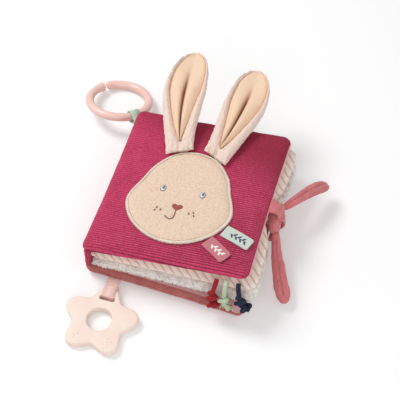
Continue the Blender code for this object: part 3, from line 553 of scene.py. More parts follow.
def add_camera():
    back = Vector((
        math.sin(CAMERA_AZIMUTH) * math.cos(CAMERA_RISE),
        -math.cos(CAMERA_AZIMUTH) * math.cos(CAMERA_RISE),
        math.sin(CAMERA_RISE),
    ))
    data = bpy.data.cameras.new("camera")
    data.lens, data.sensor_width = CAMERA_LENS, CAMERA_SENSOR
    camera = in_scene("camera", data)
    camera.location = Vector(CAMERA_AIM) + back * CAMERA_DISTANCE
    camera.rotation_mode = "QUATERNION"
    camera.rotation_quaternion = (-back).to_track_quat("-Z", "Y")
    bpy.context.scene.camera = camera


# Cord routes from the leaf's edge, as the part has them, and where each loose end points
CORD = 0.0045
CORD_KNOT = 0.0112
CORD_KNOT_LENGTH = 0.0105
CORD_END_LENGTH = 0.010
FRAY_STRANDS = 11
FRAY_LENGTH = 0.0130
FRAY_SPREAD = math.radians(96)
CORD_ROUTES = {
    "red": [
        (0.0512, -0.0848, 0.0470),
        (0.0510, -0.0896, 0.0443),
        (0.0500, -0.0921, 0.0385),
        (0.0496, -0.0926, 0.0340),
    ],
    "mint": [
        (0.0602, -0.0848, 0.0476),
        (0.0604, -0.0896, 0.0450),
        (0.0603, -0.0921, 0.0395),
        (0.0602, -0.0925, 0.0345),
    ],
    "navy": [
        (0.0715, -0.0848, 0.0482),
        (0.0724, -0.0893, 0.0460),
        (0.0738, -0.0915, 0.0410),
        (0.0745, -0.0920, 0.0365),
    ],
}
CORD_END_STEPS = {
    "red": (0.30, -0.10, -0.95),
    "mint": (0.55, -0.12, -0.83),
    "navy": (0.80, 0.06, -0.60),
}
# Each cord's own colour, then the painted shade between its strands.
CORD_COLOURS = {
    "red": (RED, (122, 6, 20)),
    "mint": (CORD_MINT, (178, 194, 156)),
    "navy": (CORD_NAVY, (8, 10, 34)),
}


def cord_knot(name, start, end, material):
    """An overhand knot: a cord wound once round itself and tucked in."""
    axis = (end - start).normalized()
    side = axis.cross(Vector((0, 1, 0))).normalized()
    front = side.cross(axis)
    middle = start.lerp(end, 0.5)
    path = []
    for step in range(40):
        turn = math.tau * step / 40
        reach = CORD_KNOT / 2 - CORD * 0.44
        out = side * (reach * math.sin(2 * turn) * 0.9) + front * (reach * math.cos(turn) * 1.05)
        path.append(middle + out + axis * (CORD_KNOT_LENGTH * 0.30 * math.sin(turn + 0.6)))
    rings = tube(path + path[:1], lambda share: round_section(CORD * 0.46, 8), axis + side * 0.3)
    return shell(name, rings[:-1], material, closed=True)


def frayed(name, foot, fall, material):
    """A cord's end with its strands come apart in a fan."""
    fall = fall.normalized()
    side = fall.cross(Vector((0, 1, 0))).normalized()
    front = side.cross(fall)
    parts = []
    for i in range(FRAY_STRANDS):
        spread = (i / (FRAY_STRANDS - 1) - 0.5) * FRAY_SPREAD
        depth = 0.25 * math.sin(i * 2.3)
        out = fall * math.cos(spread) + side * math.sin(spread) + front * depth
        reach = FRAY_LENGTH * (0.78 + 0.22 * math.cos(i * 1.7))
        bow = side * math.sin(i * 2.9) * 0.0012
        path = curve_through([foot, foot + out * reach * 0.5 + bow, foot + out * reach], 3)
        strand = tube(path, lambda share: round_section(CORD * (0.20 - 0.11 * share), 6), (0, 1, 0))
        parts.append(capped(strand))
    return joined(name, parts, material)


def add_cords():
    for colour, route in CORD_ROUTES.items():
        material = braid(f"{colour}_braid", *CORD_COLOURS[colour])
        fall = (Vector(route[-1]) - Vector(route[-2])).normalized()
        top = Vector(route[-1])
        foot = top + fall * CORD_KNOT_LENGTH
        end = foot + Vector(CORD_END_STEPS[colour]).normalized() * CORD_END_LENGTH
        path = curve_through([*route, top.lerp(foot, 0.5), foot, end], 5)
        cord = loose_tube(f"cord_{colour}_braid", path, CORD / 2, material, 10, (1, 0, 0))
        knot = cord_knot(f"cord_{colour}_overhand_knot", top, foot, material)
        settle(cord, "leaf_1", [f"cord_{colour}"])
        settle(knot, "leaf_1", [f"cord_{colour}_knot"])
        pieces = [knot]
        if colour == "mint":
            pieces.append(frayed("cord_mint_frayed_end", foot, end - foot, material))
        else:
            pieces.append(cord_knot(f"cord_{colour}_end_fold", foot, end, material))
        settle(pieces[-1], "leaf_1")


add_camera()
add_cords()

# Covers and spine

COVER_CORNER = 0.0075
COVER_ROLL = 0.009
COVER_PULL = 0.0011
PUCKER = 0.0007
PUCKER_REACH = 0.009
TIE_DENT = 0.0016
TIE_DENT_WIDTH = 0.007
SPINE_ROLL = 0.005
REAR_SKEW = 0.008
REAR_HEM = 0.0075
BARE_PATCH = 0.009
CORNER_FLARE = 0.0018
CORNER_LIFT = 0.0008
CORNER_DRAW = 0.0036
LINING_EDGE = 0.0009
SPINE_HEM = 0.0065


def slipped(x, y, z, half_x, half_y):
    """The rear cover has slipped down, most of all at the fore-edge."""
    return x, y - REAR_SKEW * (x + half_x) / (2 * half_x), z


def flared(x, y, z, half_x, half_y):
    """The front cover's corner beside the ring is drawn out, the one below the tie drawn in."""
    share = np.clip(0.5 - x / half_x / 2, 0, 1) * np.clip(0.5 + y / half_y / 2, 0, 1)
    drawn = np.clip(0.5 + x / half_x / 2, 0, 1) * np.clip(0.5 - y / half_y / 2, 0, 1)
    return x, y + CORNER_FLARE * share + CORNER_DRAW * drawn**1.5, z + CORNER_LIFT * share**3


def half_pad(name, size, roll, rise, material, plane, seed, dent=False, bend=None):
    """One cloth of a padded piece: crowned, rolled to its seam and puckered there."""
    half_x, half_y, corner = size
    outline = rounded_outline(half_x, half_y, corner, round(4 * (half_x + half_y) / FINE))
    rows = round(min(half_x, half_y) / FINE * 0.9) + 4
    shares = inward(rows)
    x, y = outline[:, 0] * shares, outline[:, 1] * shares
    inside = rim_distance(x, y, half_x, half_y, corner)
    near = np.exp(-inside / PUCKER_REACH)
    sign = math.copysign(1, rise)
    flat = np.stack([x, y, 0 * x], -1)
    puckers = np.abs(swarm(flat, 0.0062, seed)) * near + swarm(flat, 0.022, seed + 1) * near * 0.5
    height = abs(rise) * rolled(inside / roll) - PUCKER * puckers * rolled(inside / 0.003)
    if dent:
        pulled = np.exp(-(((y - tie_middle.y) / TIE_DENT_WIDTH) ** 2)) * np.exp((x - half_x) / 0.016)
        height -= TIE_DENT * pulled * rolled(inside / 0.004)
    height = np.maximum(height, GAP)
    x = x * (1 - COVER_PULL / half_x * (1 - (y / half_y) ** 2) * shares**4)
    y = y * (1 - COVER_PULL / half_y * (1 - (x / half_x) ** 2) * shares**4)
    outer = np.stack([x, y, sign * height], -1)
    inner = [
        np.stack([x[-1] * share, y[-1] * share, np.full(len(outline), sign * GAP / 2)], -1)
        for share in (0.995, 0.5, 0.02)
    ]
    rings = np.concatenate([outer, inner])
    if bend:
        rings = np.stack(bend(*np.moveaxis(rings, -1, 0), half_x, half_y), -1)
    return shell(name, rings, material, place=plane)


def hemmed(piece, size, plane, reach, material, skew=True, bare=None):
    """Turns another cloth over a pad's rim, but not over a bare patch of (x, y, radius)."""
    piece.data.materials.append(material)
    flat = plane.inverted()
    for face in piece.data.polygons:
        spot = flat @ face.center
        shift = slipped(spot.x, 0, 0, *size[:2])[1] if skew else 0
        covered = not bare or math.hypot(spot.x - bare[0], spot.y - shift - bare[1]) > bare[2]
        if covered and rim_distance(spot.x, spot.y - shift, *size) < reach:
            face.material_index = 1


def seam_line(name, size, radius, material, plane, lift=0.0, bend=None):
    """A thin rolled cloth edge along a pad's seam."""
    half_x, half_y, corner = size
    rim = rounded_outline(half_x, half_y, corner, round(4 * (half_x + half_y) / FINE))
    x = rim[:, 0] * (1 - COVER_PULL / half_x * (1 - (rim[:, 1] / half_y) ** 2))
    y = rim[:, 1] * (1 - COVER_PULL / half_y * (1 - (rim[:, 0] / half_x) ** 2))
    rings = []
    count = len(rim)
    wobble = swarm(np.stack([x, y, 0 * x], -1), 0.007, 5) * radius * 0.4
    for i in range(count):
        ahead = Vector((x[(i + 1) % count] - x[i - 1], y[(i + 1) % count] - y[i - 1], 0)).normalized()
        out = ahead.cross(Vector((0, 0, 1)))
        middle = Vector((x[i], y[i], lift + wobble[i])) - out * radius * 0.4
        rings.append([middle + out * a + Vector((0, 0, b)) for a, b in round_section(radius, 6)])
    rings = np.array(rings)
    if bend:
        rings = np.stack(bend(*np.moveaxis(rings, -1, 0), half_x, half_y), -1)
    return shell(name, rings, material, closed=True, place=plane)


def plane_pad(cloth, lining, plane):
    """Half sizes, seam plane, rise and drop of a padded piece, read off its two cloths."""
    low, high = local_box(cloth, plane)
    under, over = local_box(lining, plane)
    tops = (high.z, over.z)
    bottoms = (low.z, under.z)
    seam = (min(tops) + max(bottoms)) / 2
    size = ((high.x - low.x) / 2, (high.y - low.y) / 2, COVER_CORNER)
    middle = Matrix.Translation(((high.x + low.x) / 2, (high.y + low.y) / 2, seam))
    return size, plane @ middle, max(tops) - seam, seam - min(bottoms)


raspberry = corduroy()
lining_pink = velour("pale_pink_lining", LINING_PINK, (226, 170, 174), 0.15, 0.0007)
rose_velour = velour("dusty_rose_velour", ROSE, (176, 92, 90), 0.3)
tie_velour = velour("tie_velour", TIE_ROSE, (192, 100, 104), 0.35, 0.0011)


def add_covers():
    size, plane, rise, drop = plane_pad("front_cover_cloth", "front_cover_lining", COVER_PLANE)
    top = half_pad(
        "front_cover_corduroy", size, COVER_ROLL, rise, raspberry, plane, 11, dent=True, bend=flared
    )
    under = half_pad(
        "front_cover_lining_cloth", size, COVER_ROLL, -drop, lining_pink, plane, 12, bend=flared
    )
    edge = seam_line("front_cover_seam", size, 0.0007, raspberry, plane, bend=flared)
    half_y = size[1]
    path = []
    for share in np.linspace(-1, 1, 60):
        y = share * (half_y - COVER_CORNER * 0.8)
        x = size[0] - COVER_PULL * (1 - share**2) + LINING_EDGE * 0.3
        path.append(plane @ Vector(flared(x, y, -LINING_EDGE, *size[:2])))
    piping = loose_tube("front_cover_lining_edge", path, LINING_EDGE, lining_pink, 8)
    settle(piping, "front_cover")
    nodes = ["front_cover_cloth", "front_cover_wadding"]
    settle(top, "front_cover", nodes)
    nodes = ["front_cover_lining", "front_cover_film"]
    settle(under, "front_cover", nodes)
    settle(edge, "front_cover")
    size, plane, rise, drop = plane_pad("rear_cover_lining", "rear_cover_cloth", Matrix.Identity(4))
    size = (size[0], half_y, COVER_CORNER)
    plane = plane @ Matrix.Translation((0, REAR_SKEW / 2, 0))
    top = half_pad("rear_cover_lining_cloth", size, COVER_ROLL, rise, lining_pink, plane, 13, bend=slipped)
    hemmed(top, size, plane, REAR_HEM, rose_velour, bare=(size[0] - 0.003, 0.006 - size[1], BARE_PATCH))
    under = half_pad("rear_cover_velour", size, COVER_ROLL, -drop, rose_velour, plane, 14, bend=slipped)
    edge = seam_line("rear_cover_seam", size, 0.0009, rose_velour, plane, 0.0006, slipped)
    nodes = ["rear_cover_lining", "rear_cover_wadding"]
    settle(top, "root", nodes)
    settle(under, "root", ["rear_cover_cloth", "rear_cover_film"])
    settle(edge, "root")
    upright = Matrix(((0, 0, -1, 0), (0, 1, 0, 0), (1, 0, 0, 0), (0, 0, 0, 1)))
    size, plane, rise, drop = plane_pad("spine_cloth", "spine_lining", upright)
    size = (size[0], size[1], COVER_CORNER / 2)
    outer = half_pad("spine_corduroy", size, SPINE_ROLL, rise, raspberry, plane, 15)
    inner = half_pad("spine_lining_cloth", size, SPINE_ROLL, -drop, lining_pink, plane, 16)
    hemmed(inner, size, plane, SPINE_HEM, raspberry, skew=False)
    settle(outer, "root", ["spine_cloth", "spine_wadding"])
    settle(inner, "root", ["spine_lining"])


add_covers()

# Leaves

LEAF_CORNER = 0.012
LEAF_NEAR_CORNER = 0.004
LEAF_ROLL = 0.016
LEAF_NEAR_ROLL = 0.016
LEAF_NEAR_REACH = 0.0040
LEAF_WAIST = 0.013
LEAF_WAIST_REACH = 0.022
LEAF_WAIST_RUN = 0.080
LEAF_SHRINK = 0.0016
LEAF_VOXEL = 0.0045
LEAF_SWELL = 0.0016
RIB_PITCH = 0.0082
RIB_DEPTH = 0.0015
RIB_SLANT = 0.55
PILE_DEPTH = 0.0012
TUFTS = 2600
TUFT_BAND = 0.012
TUFT_LENGTH = 0.0026
TUFT_RADIUS = 0.0006

rear_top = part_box("rear_cover_lining")[1].z
leaf_room = hinge_place.z - rear_top


def leaf_middle_z(number, x):
    """Height of a leaf's seam: the two leaves share the wedge between the covers."""
    spread = math.tan(COVER_TILT / 2) * (x - hinge_place.x)
    if number == 2:
        return rear_top + leaf_room / 4 + spread / 2
    return rear_top + leaf_room * 3 / 4 + spread * 3 / 2


def leaf_half_depth(x):
    return (leaf_room / 2 + math.tan(COVER_TILT / 2) * (x - hinge_place.x) - GAP) / 2


def plumped(piece, voxel, cap, pressure=4.0, frames=20):
    """Swells a pad by cloth pressure, no further than cap, and gives it an even mesh."""
    remesh = piece.modifiers.new("even", "REMESH")
    remesh.mode = "VOXEL"
    remesh.voxel_size = voxel
    piece.data = flattened(piece)
    rest = np.array([vertex.co for vertex in piece.data.vertices])
    cloth = piece.modifiers.new("swell", "CLOTH")
    cloth.settings.use_pressure = True
    cloth.settings.uniform_pressure_force = pressure
    cloth.settings.effector_weights.gravity = 0
    scene = bpy.context.scene
    for number in range(1, frames + 1):
        scene.frame_set(number)
    swollen = flattened(piece)
    moved = np.array([vertex.co for vertex in swollen.vertices]) - rest
    length = np.linalg.norm(moved, axis=1, keepdims=True)
    moved *= np.minimum(1, cap / np.maximum(length, 1e-9))
    piece.data.vertices.foreach_set("co", (rest + moved).ravel())
    scene.frame_set(1)


def flattened(piece):
    """A piece's mesh with its modifiers applied. They are then taken off."""
    graph = bpy.context.evaluated_depsgraph_get()
    graph.update()
    data = bpy.data.meshes.new_from_object(piece.evaluated_get(graph))
    piece.modifiers.clear()
    return data


def subdivided(piece, levels):
    modifier = piece.modifiers.new("smooth", "SUBSURF")
    modifier.levels = modifier.render_levels = levels
    piece.data = flattened(piece)
    piece.data.shade_smooth()


def pushed(piece, offsets, marks=None):
    """Moves each point along its own normal."""
    data = piece.data
    normals = np.zeros(len(data.vertices) * 3)
    data.vertices.foreach_get("normal", normals)
    moved = vertices_of(piece) + normals.reshape(-1, 3) * np.asarray(offsets)[:, None]
    data.vertices.foreach_set("co", moved.ravel())
    for key, values in (marks or {}).items():
        carried = data.attributes.new(key, "FLOAT", "POINT")
        carried.data.foreach_set("value", np.asarray(values, np.float32))
    data.update()


def leaf_base(number):
    """A leaf a little under size, as wide and deep as its CAD cloths."""
    low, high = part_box(f"leaf_{number}_front_cloth")
    near_x = joint_place(f"leaf_{number}_hinge").x - LEAF_NEAR_REACH
    half_x, half_y = (high.x - near_x) / 2 - LEAF_SHRINK, (high.y - low.y) / 2 - LEAF_SHRINK
    middle_x = (high.x + near_x) / 2
    outline = rounded_outline(half_x, half_y, LEAF_CORNER, 240, LEAF_NEAR_CORNER)
    rows = 26
    shares = inward(rows)
    x, y = outline[:, 0] * shares, outline[:, 1] * shares
    inside = rim_distance(np.maximum(x, 0), y, half_x, half_y, LEAF_CORNER)
    height = rolled((inside + 0.0004) / LEAF_ROLL) * rolled((x + half_x + 0.0004) / LEAF_NEAR_ROLL)
    x = x + middle_x
    along = np.clip((x - (high.x - LEAF_WAIST_RUN)) / LEAF_WAIST_RUN, 0, None)
    x = x - LEAF_WAIST * np.exp(-(((y - tie_middle.y) / LEAF_WAIST_REACH) ** 2)) * along**2
    depth = leaf_half_depth(x) - LEAF_SHRINK
    middle = leaf_middle_z(number, x)
    top = np.stack([x, y, middle + depth * height], -1)
    bottom = np.stack([x, y, middle - depth * height], -1)[::-1]
    return np.concatenate([top, bottom[1:]])


def above_seam(number, points):
    return points[:, 2] - leaf_middle_z(number, points[:, 0])


def vertices_of(piece):
    points = np.zeros(len(piece.data.vertices) * 3)
    piece.data.vertices.foreach_get("co", points)
    return points.reshape(-1, 3)


def two_sided(piece, number, upper, lower):
    """Gives a leaf's faces the front cloth above its seam and the back cloth below."""
    piece.data.materials.clear()
    piece.data.materials.append(upper)
    piece.data.materials.append(lower)
    for face in piece.data.polygons:
        x, z = face.center.x, face.center.z
        face.material_index = 0 if z > leaf_middle_z(number, x) - 0.001 else 1


# The ribbed cloth's second colour is painted shade between its ribs.
ribbed_pink = shaded_cloth("ribbed_pink", RIB_PINK, RIB_GROOVE_SHADE, "groove")
# The plush's second colour is painted shade between its clumps.
plush_white = plush("white_plush", PLUSH, (234, 228, 216))


def add_tufts(piece):
    """Tapered tufts of pile on the rim of the plush leaf."""
    draw = random.Random(61)
    mesh = piece.data
    low, high = (Vector(ends) for ends in (np.min(vertices_of(piece), 0), np.max(vertices_of(piece), 0)))
    rim = [
        vertex for vertex in mesh.vertices
        if vertex.co.y < low.y + TUFT_BAND or vertex.co.x > high.x - TUFT_BAND
    ]
    parts = []
    for vertex in draw.sample(rim, min(TUFTS, len(rim))):
        lean = Vector((draw.uniform(-1, 1), draw.uniform(-1, 1), draw.uniform(-1.2, 0.6)))
        ahead = (vertex.normal + lean * 0.6).normalized()
        if ahead.dot(vertex.normal) < 0.2:
            continue
        reach = draw.uniform(0.6, 1.0) * TUFT_LENGTH
        root = vertex.co - ahead * reach * 0.3
        path = [root, root + ahead * reach * 0.55, root + ahead * reach]
        tuft = tube(path, lambda share: round_section(TUFT_RADIUS * (1 - 0.8 * share), 4), (0.3, 0.2, 1))
        parts.append(capped(tuft))
    tufts = joined("leaf_2_tufts", parts, plush_white)
    settle(tufts, "leaf_2")


def leaf_pad(number, cloth):
    """A leaf's pad, swollen and smoothed, and its points."""
    piece = shell(f"leaf_{number}_pad", leaf_base(number), cloth)
    plumped(piece, LEAF_VOXEL, LEAF_SWELL)
    subdivided(piece, 2)
    return piece, vertices_of(piece)


def leaf_nodes(number):
    return [f"leaf_{number}_{part}" for part in ("front_cloth", "back_cloth", "wadding", "film", "gutter")]


def add_leaves():
    piece, points = leaf_pad(1, ribbed_pink)
    height = above_seam(1, points)
    depth = leaf_half_depth(points[:, 0])
    fallen = np.clip(depth - height, 0, None)
    turns = (points[:, 0] + 0.85 * points[:, 1] - RIB_SLANT * fallen) / RIB_PITCH
    ridge = np.abs(np.sin(math.pi * turns))
    front = np.clip((height + 0.001) / 0.001, 0, 1)
    carved = -RIB_DEPTH * (1 - ridge**0.55) * front
    # Painted shade between the ribs, on the leaf's front only.
    groove = (1 - ridge) ** 2.4 * front
    pushed(piece, carved - 0.0002, {"groove": groove})
    two_sided(piece, 1, ribbed_pink, lining_pink)
    settle(piece, "leaf_1", leaf_nodes(1))
    piece, points = leaf_pad(2, plush_white)
    clumps = swarm(points, 0.0045, 21) * 0.6 + swarm(points, 0.0018, 22) * 0.4
    pushed(piece, PILE_DEPTH * (np.clip(clumps, -1, 1) * 0.5 - 0.5))
    settle(piece, "leaf_2", leaf_nodes(2))
    add_tufts(piece)


add_leaves()

# Head

HEAD_WIDTH = 0.101
HEAD_HEIGHT = 0.1055
HEAD_ROLL = 0.010
HEAD_HEM = 0.0014
HEAD_HALF_SHARES = (
    (0.0, 1.0),
    (0.40, 0.90),
    (0.70, 0.58),
    (0.84, 0.24),
    (1.0, -0.23),
    (0.82, -0.63),
    (0.44, -0.905),
    (0.0, -1.0),
)
STITCH_PITCH = 0.00105
STITCH_IN = 0.0015
STITCH_OUT = 0.0012
STITCH_RADIUS = 0.00068
STITCH_ARCH = 0.0011
STITCH_JITTER = 0.0004
EYE_SPAN = 0.0388
EYE_ABOVE = 0.0028
EYE_HALF_WIDTH = 0.0029
EYE_HALF_HEIGHT = 0.0040
PATCH_FOOT = 0.0003
WHISKER_LEAN = 0.0005
WHISKER_HALF = 0.0009
WHISKER_RADIUS = 0.0006
WHISKER_ARCH = 0.0003
WHISKER_PLACES = ((-0.0184, -0.0202), (-0.0144, -0.0220), (-0.0196, -0.0237))
WHISKER_RIGHT_SHIFT = (0.0016, 0.0012)
PUPIL_SHIFT = (0.0004, 0.0004)
PUPIL_HALF = (0.0013, 0.0019)
NOSE_BELOW = 0.0160
head_top = head_high.z - cover_high.z


def head_outline(count):
    left = [(-x, y) for x, y in HEAD_HALF_SHARES[-2:0:-1]]
    points = [(x * HEAD_WIDTH / 2, y * HEAD_HEIGHT / 2, 0) for x, y in list(HEAD_HALF_SHARES) + left]
    return evenly([point[:2] for point in curve_through(points, 16, closed=True)], count)


def outward(outline):
    """Unit normals of a clockwise outline."""
    ahead = np.roll(outline, -1, 0) - np.roll(outline, 1, 0)
    normal = np.stack([-ahead[:, 1], ahead[:, 0]], 1)
    return normal / np.linalg.norm(normal, axis=1, keepdims=True)


# The terry's second colour is painted shade between its loops.
beige_terry = terry("beige_terry", BEIGE, (240, 206, 180), 0.0015)
cream_thread = velour("cream_stitching", CREAM, (240, 224, 206), 0.2, 0.0006)


def add_head():
    outline = head_outline(340)
    shares = inward(52)
    x, y = outline[:, 0] * shares, outline[:, 1] * shares
    reach = np.linalg.norm(outline, axis=1)
    inside = (1 - shares) * reach
    rise = head_top - HEAD_HEM
    height = HEAD_HEM + rise * rolled((inside - 0.0012) / HEAD_ROLL)
    flat = np.stack([x, y, 0 * x], -1)
    calm = np.clip(inside / 0.012, 0, 1)
    height += swarm(flat, 0.0016, 31) * 0.00016 - np.abs(swarm(flat, 0.012, 32)) * 0.0004 * (1 - calm)
    top = np.stack([x, y, height], -1)
    under = [
        np.stack([outline[:, 0] * s, outline[:, 1] * s, np.full(len(outline), GAP)], -1)
        for s in (1.0, 0.5, 0.02)
    ]
    head = shell("head_terry", np.concatenate([top, under]), beige_terry, place=FACE_PLANE)
    settle(head, "front_cover", ["head_plush", "head_wadding"])
    length = np.linalg.norm(np.diff(outline, axis=0), axis=1).sum()
    rim = head_outline(round(length / STITCH_PITCH))
    normal = outward(rim)
    parts = []
    for i, (point, out) in enumerate(zip(rim, normal)):
        lean = np.array([-out[1], out[0]]) * 0.0004
        jitter = STITCH_JITTER * noise.noise(Vector((i * 0.73, 0, 0)))
        start = (*(point + out * (STITCH_OUT + jitter) - lean), GAP + 0.0006)
        end = (*(point - out * (STITCH_IN + jitter) + lean), HEAD_HEM + 0.0011)
        parts.append(stitch(start, end, STITCH_RADIUS, (0, 0, STITCH_ARCH)))
    edge = joined("head_overlock", parts, cream_thread, FACE_PLANE)
    settle(edge, "front_cover", ["head_edge_stitching"])


def dome(outline, low, high, rows=6):
    """A small crowned patch over an outline."""
    outline = np.asarray(outline)
    middle = outline.mean(0)
    rings = []
    for k in range(rows, 0, -1):
        share = k / rows
        rise = low + (high - low) * math.sqrt(max(0, 1 - share**2)) ** 0.7
        rings.append(np.column_stack([middle + (outline - middle) * share, np.full(len(outline), rise)]))
    foot = np.full(len(outline), low - PATCH_FOOT)
    rings.insert(0, np.column_stack([outline, foot]))
    rings.insert(0, np.column_stack([middle + (outline - middle) * 0.05, foot]))
    return np.array(rings)


def eye_finish(side):
    """An embroidered eye: a grey ring, white inside, with a grey pupil."""
    finish = Finish(f"eye_thread_{side}", 0.5, sheen=0.2)
    ring = finish.mark("ring")
    pupil = finish.mark("pupil")
    white = finish.blend(pupil.between(0.35, 0.55), WHITE, (92, 96, 116))
    thread = (finish.along((0.7, 0.7, 0)) * (math.tau / 0.0007)).wave()
    grey = finish.blend(thread, (104, 108, 126), (142, 146, 162))
    finish.colour(finish.blend(ring.between(0.70, 0.80), white, grey))
    finish.relief(thread, 0.0001)
    return finish.material


def add_face():
    low = head_top + GAP
    for side, sign in (("left", -1), ("right", 1)):
        turns = full_turn(40)
        outline = np.column_stack([
            sign * EYE_SPAN / 2 + EYE_HALF_WIDTH * np.cos(turns),
            EYE_ABOVE + EYE_HALF_HEIGHT * np.sin(turns),
        ])
        rings = dome(outline, low - 0.0002, low + 0.0006, 10)
        ring = np.stack([np.full(40, 1.0)] * 2 + [np.full(40, k / 10) for k in range(10, 0, -1)])
        middle = outline.mean(0) + np.array(PUPIL_SHIFT)
        off = np.linalg.norm((rings[..., :2] - middle) / np.array(PUPIL_HALF), axis=-1)
        marks = {"ring": ring, "pupil": np.clip(1 - off * 0.5, 0, 1)}
        eye = shell(f"eye_{side}_stitched", rings, eye_finish(side), marks=marks, place=FACE_PLANE)
        settle(eye, "front_cover", [f"eye_{side}"])
    heart = []
    for k in range(60):
        t = math.tau * k / 60
        up = (13 * math.cos(t) - 5 * math.cos(2 * t) - 2 * math.cos(3 * t) - math.cos(4 * t)) / 15
        heart.append((0.0054 * math.sin(t) ** 3, 0.0044 * up - NOSE_BELOW))
    nose = shell(
        "nose_stitched", dome(heart, low - 0.0002, low + 0.0007), nose_thread, place=FACE_PLANE
    )
    settle(nose, "front_cover", ["nose"])
    top = -NOSE_BELOW - 0.0050
    route = [
        (0.0002, top, low), (0, top - 0.0048, low), (-0.0010, top - 0.0084, low),
        (-0.0042, top - 0.0094, low), (-0.0086, top - 0.0066, low),
    ]
    parts = stitch_row(route, 0.0011, 0.00052)
    mouth = joined("mouth_stitched", parts, mouth_thread, FACE_PLANE)
    settle(mouth, "front_cover", ["mouth"])
    dashes = []
    for x, y in WHISKER_PLACES:
        dashes += [(x, y, 1), (-x - WHISKER_RIGHT_SHIFT[0], y + WHISKER_RIGHT_SHIFT[1], -1)]
    parts = []
    for x, y, lean in dashes:
        start = (x - lean * WHISKER_LEAN, y - WHISKER_HALF, low)
        end = (x + lean * WHISKER_LEAN, y + WHISKER_HALF, low)
        parts.append(stitch(start, end, WHISKER_RADIUS, (0, 0, WHISKER_ARCH)))
    whiskers = joined("whisker_stitches", parts, whisker_thread, FACE_PLANE)
    settle(whiskers, "front_cover")


def stitch_row(route, pitch, radius, share=0.86, arch=(0, 0, 0.0002)):
    """Stitches end to end along a line."""
    path = curve_through(route, 12)
    points = evenly([tuple(point) for point in path], max(3, round(line_length(path) / pitch)), closed=False)
    parts = []
    for start, end in zip(points, points[1:]):
        parts.append(stitch(start, start + (end - start) * share, radius, arch))
    return parts


nose_thread = velour("rose_thread", TERRACOTTA, (150, 70, 62), 0.2, 0.0006)
mouth_thread = velour("mouth_thread", (128, 72, 64), (100, 50, 44), 0.1, 0.0006)
whisker_thread = velour("whisker_thread", WHISKER, (60, 40, 38), 0.1, 0.0006)
add_head()
add_face()

# Ears

EAR_LENGTH = 0.1068
EAR_WIDTH = 0.0430
EAR_DEPTH = 0.0074
EAR_LIFTS = {"left": math.radians(12.5), "right": math.radians(5.5)}
EAR_SPLAY = math.radians(8)
EAR_BOW = 0.005
EAR_BASE_SLANT = 0.30
EAR_HEM = -0.014
EAR_ROWS = 110
EAR_BENDS = {-1: (-0.0050, 0.0022), 1: (0.0030, 0.0015)}
EAR_WIDTH_PLACES = (0.0, 0.05, 0.12, 0.26, 0.42, 0.58, 0.70, 0.81, 0.89, 0.94, 0.975, 0.993, 1.0)
EAR_WIDTH_SHARES = (0.60, 0.62, 0.66, 0.76, 0.89, 0.975, 0.94, 0.83, 0.67, 0.50, 0.34, 0.20, 0.06)
LINING_PLACES = (0.09, 0.16, 0.26, 0.42, 0.60, 0.80, 0.90, 0.95, 0.975)
LINING_SHARES = (0.05, 0.24, 0.42, 0.58, 0.74, 0.86, 0.88, 0.80, 0.55)
LINING_ROWS = 120
GATHER_RUN = 0.06
GATHER_STEP = 0.0008
GATHER_RADIUS = 0.00055

# The fleece's second colour is painted shade between its loops.
fleece_cream = terry("ear_fleece", FLEECE, (252, 226, 212), 0.0015)
# The lining darkens to painted shade along its crease mark.
lining_tan = shaded_cloth("ear_lining", TAN, CREASE_SHADE, "crease", 0.0009)


def ear_width(along):
    return float(np.interp(along, EAR_WIDTH_PLACES, EAR_WIDTH_SHARES))


def ear_spot(side, along, across, height):
    """A point of an ear, with height in metres over its base line."""
    width = ear_width(along)
    x = across * width * EAR_WIDTH / 2
    slant = max(0, 1 - along / 0.3) * EAR_BASE_SLANT
    middle, tip = EAR_BENDS[side]
    bend = middle * math.sin(math.pi * along) + tip * along**3
    return (x + bend, along * EAR_LENGTH - side * slant * x, height + EAR_BOW * along**2)


def ear_depth(along):
    hem = min(1, max(0, (along - EAR_HEM) / 0.05)) ** 0.5
    return EAR_DEPTH * (0.35 + 0.65 * ear_width(along)) * (0.4 + 0.6 * hem)


def lining_half(along):
    """Half width of the lining as a share of the ear's: it comes to a point near the base."""
    if along < LINING_PLACES[0]:
        return 0.0
    return float(np.interp(along, LINING_PLACES, LINING_SHARES))


def fleece_front(along, across):
    """Height share of the fleece's front: two lips round a trough."""
    edge = lining_half(along)
    u = abs(across)
    lip = 0.80 * math.sin(math.pi * min(1, max(0, (u - edge) / (1 - edge)))) ** 0.7
    if u < edge:
        return -0.34 * (1 - (u / edge) ** 2) ** 0.5
    return lip * (1 if edge > 0.02 else min(1, 0.35 + u))


def lining_top(along, across):
    """Height share of the lining: two puffed lobes low down, an open dish above."""
    u = abs(across)
    fold = min(1, max(0, (0.84 - along) / 0.30))
    fold = fold * fold * (3 - 2 * fold)
    lobes = 0.86 * math.sin(math.pi * u**0.72) ** 0.75 if 0 < u < 1 else 0
    dish = 0.50 * u**1.6 * (1 - u**8) + 0.04
    crease = -0.34 * math.exp(-((u / 0.20) ** 2))
    return fold * (lobes + crease) + (1 - fold) * dish


def ear_rings(side, start, end, rows, curves):
    rings, marks = [], []
    for along in np.linspace(start, end, rows):
        ring, mark = curves(float(along))
        rings.append([ear_spot(side, float(along), across, height) for across, height in ring])
        marks.append(mark)
    return np.array(rings), np.array(marks)


def fleece_section(along):
    depth = ear_depth(along)
    closing = max(0, min(1, (along - 0.95) / 0.04))
    back = [(-math.cos(t), -math.sin(t) ** 0.8 * depth) for t in np.linspace(0.001, math.pi - 0.001, 26)]
    front = [(u, fleece_front(along, u) * depth * (1 - closing)) for u in np.linspace(0.98, -0.98, 44)]
    return back + front, [0] * 70


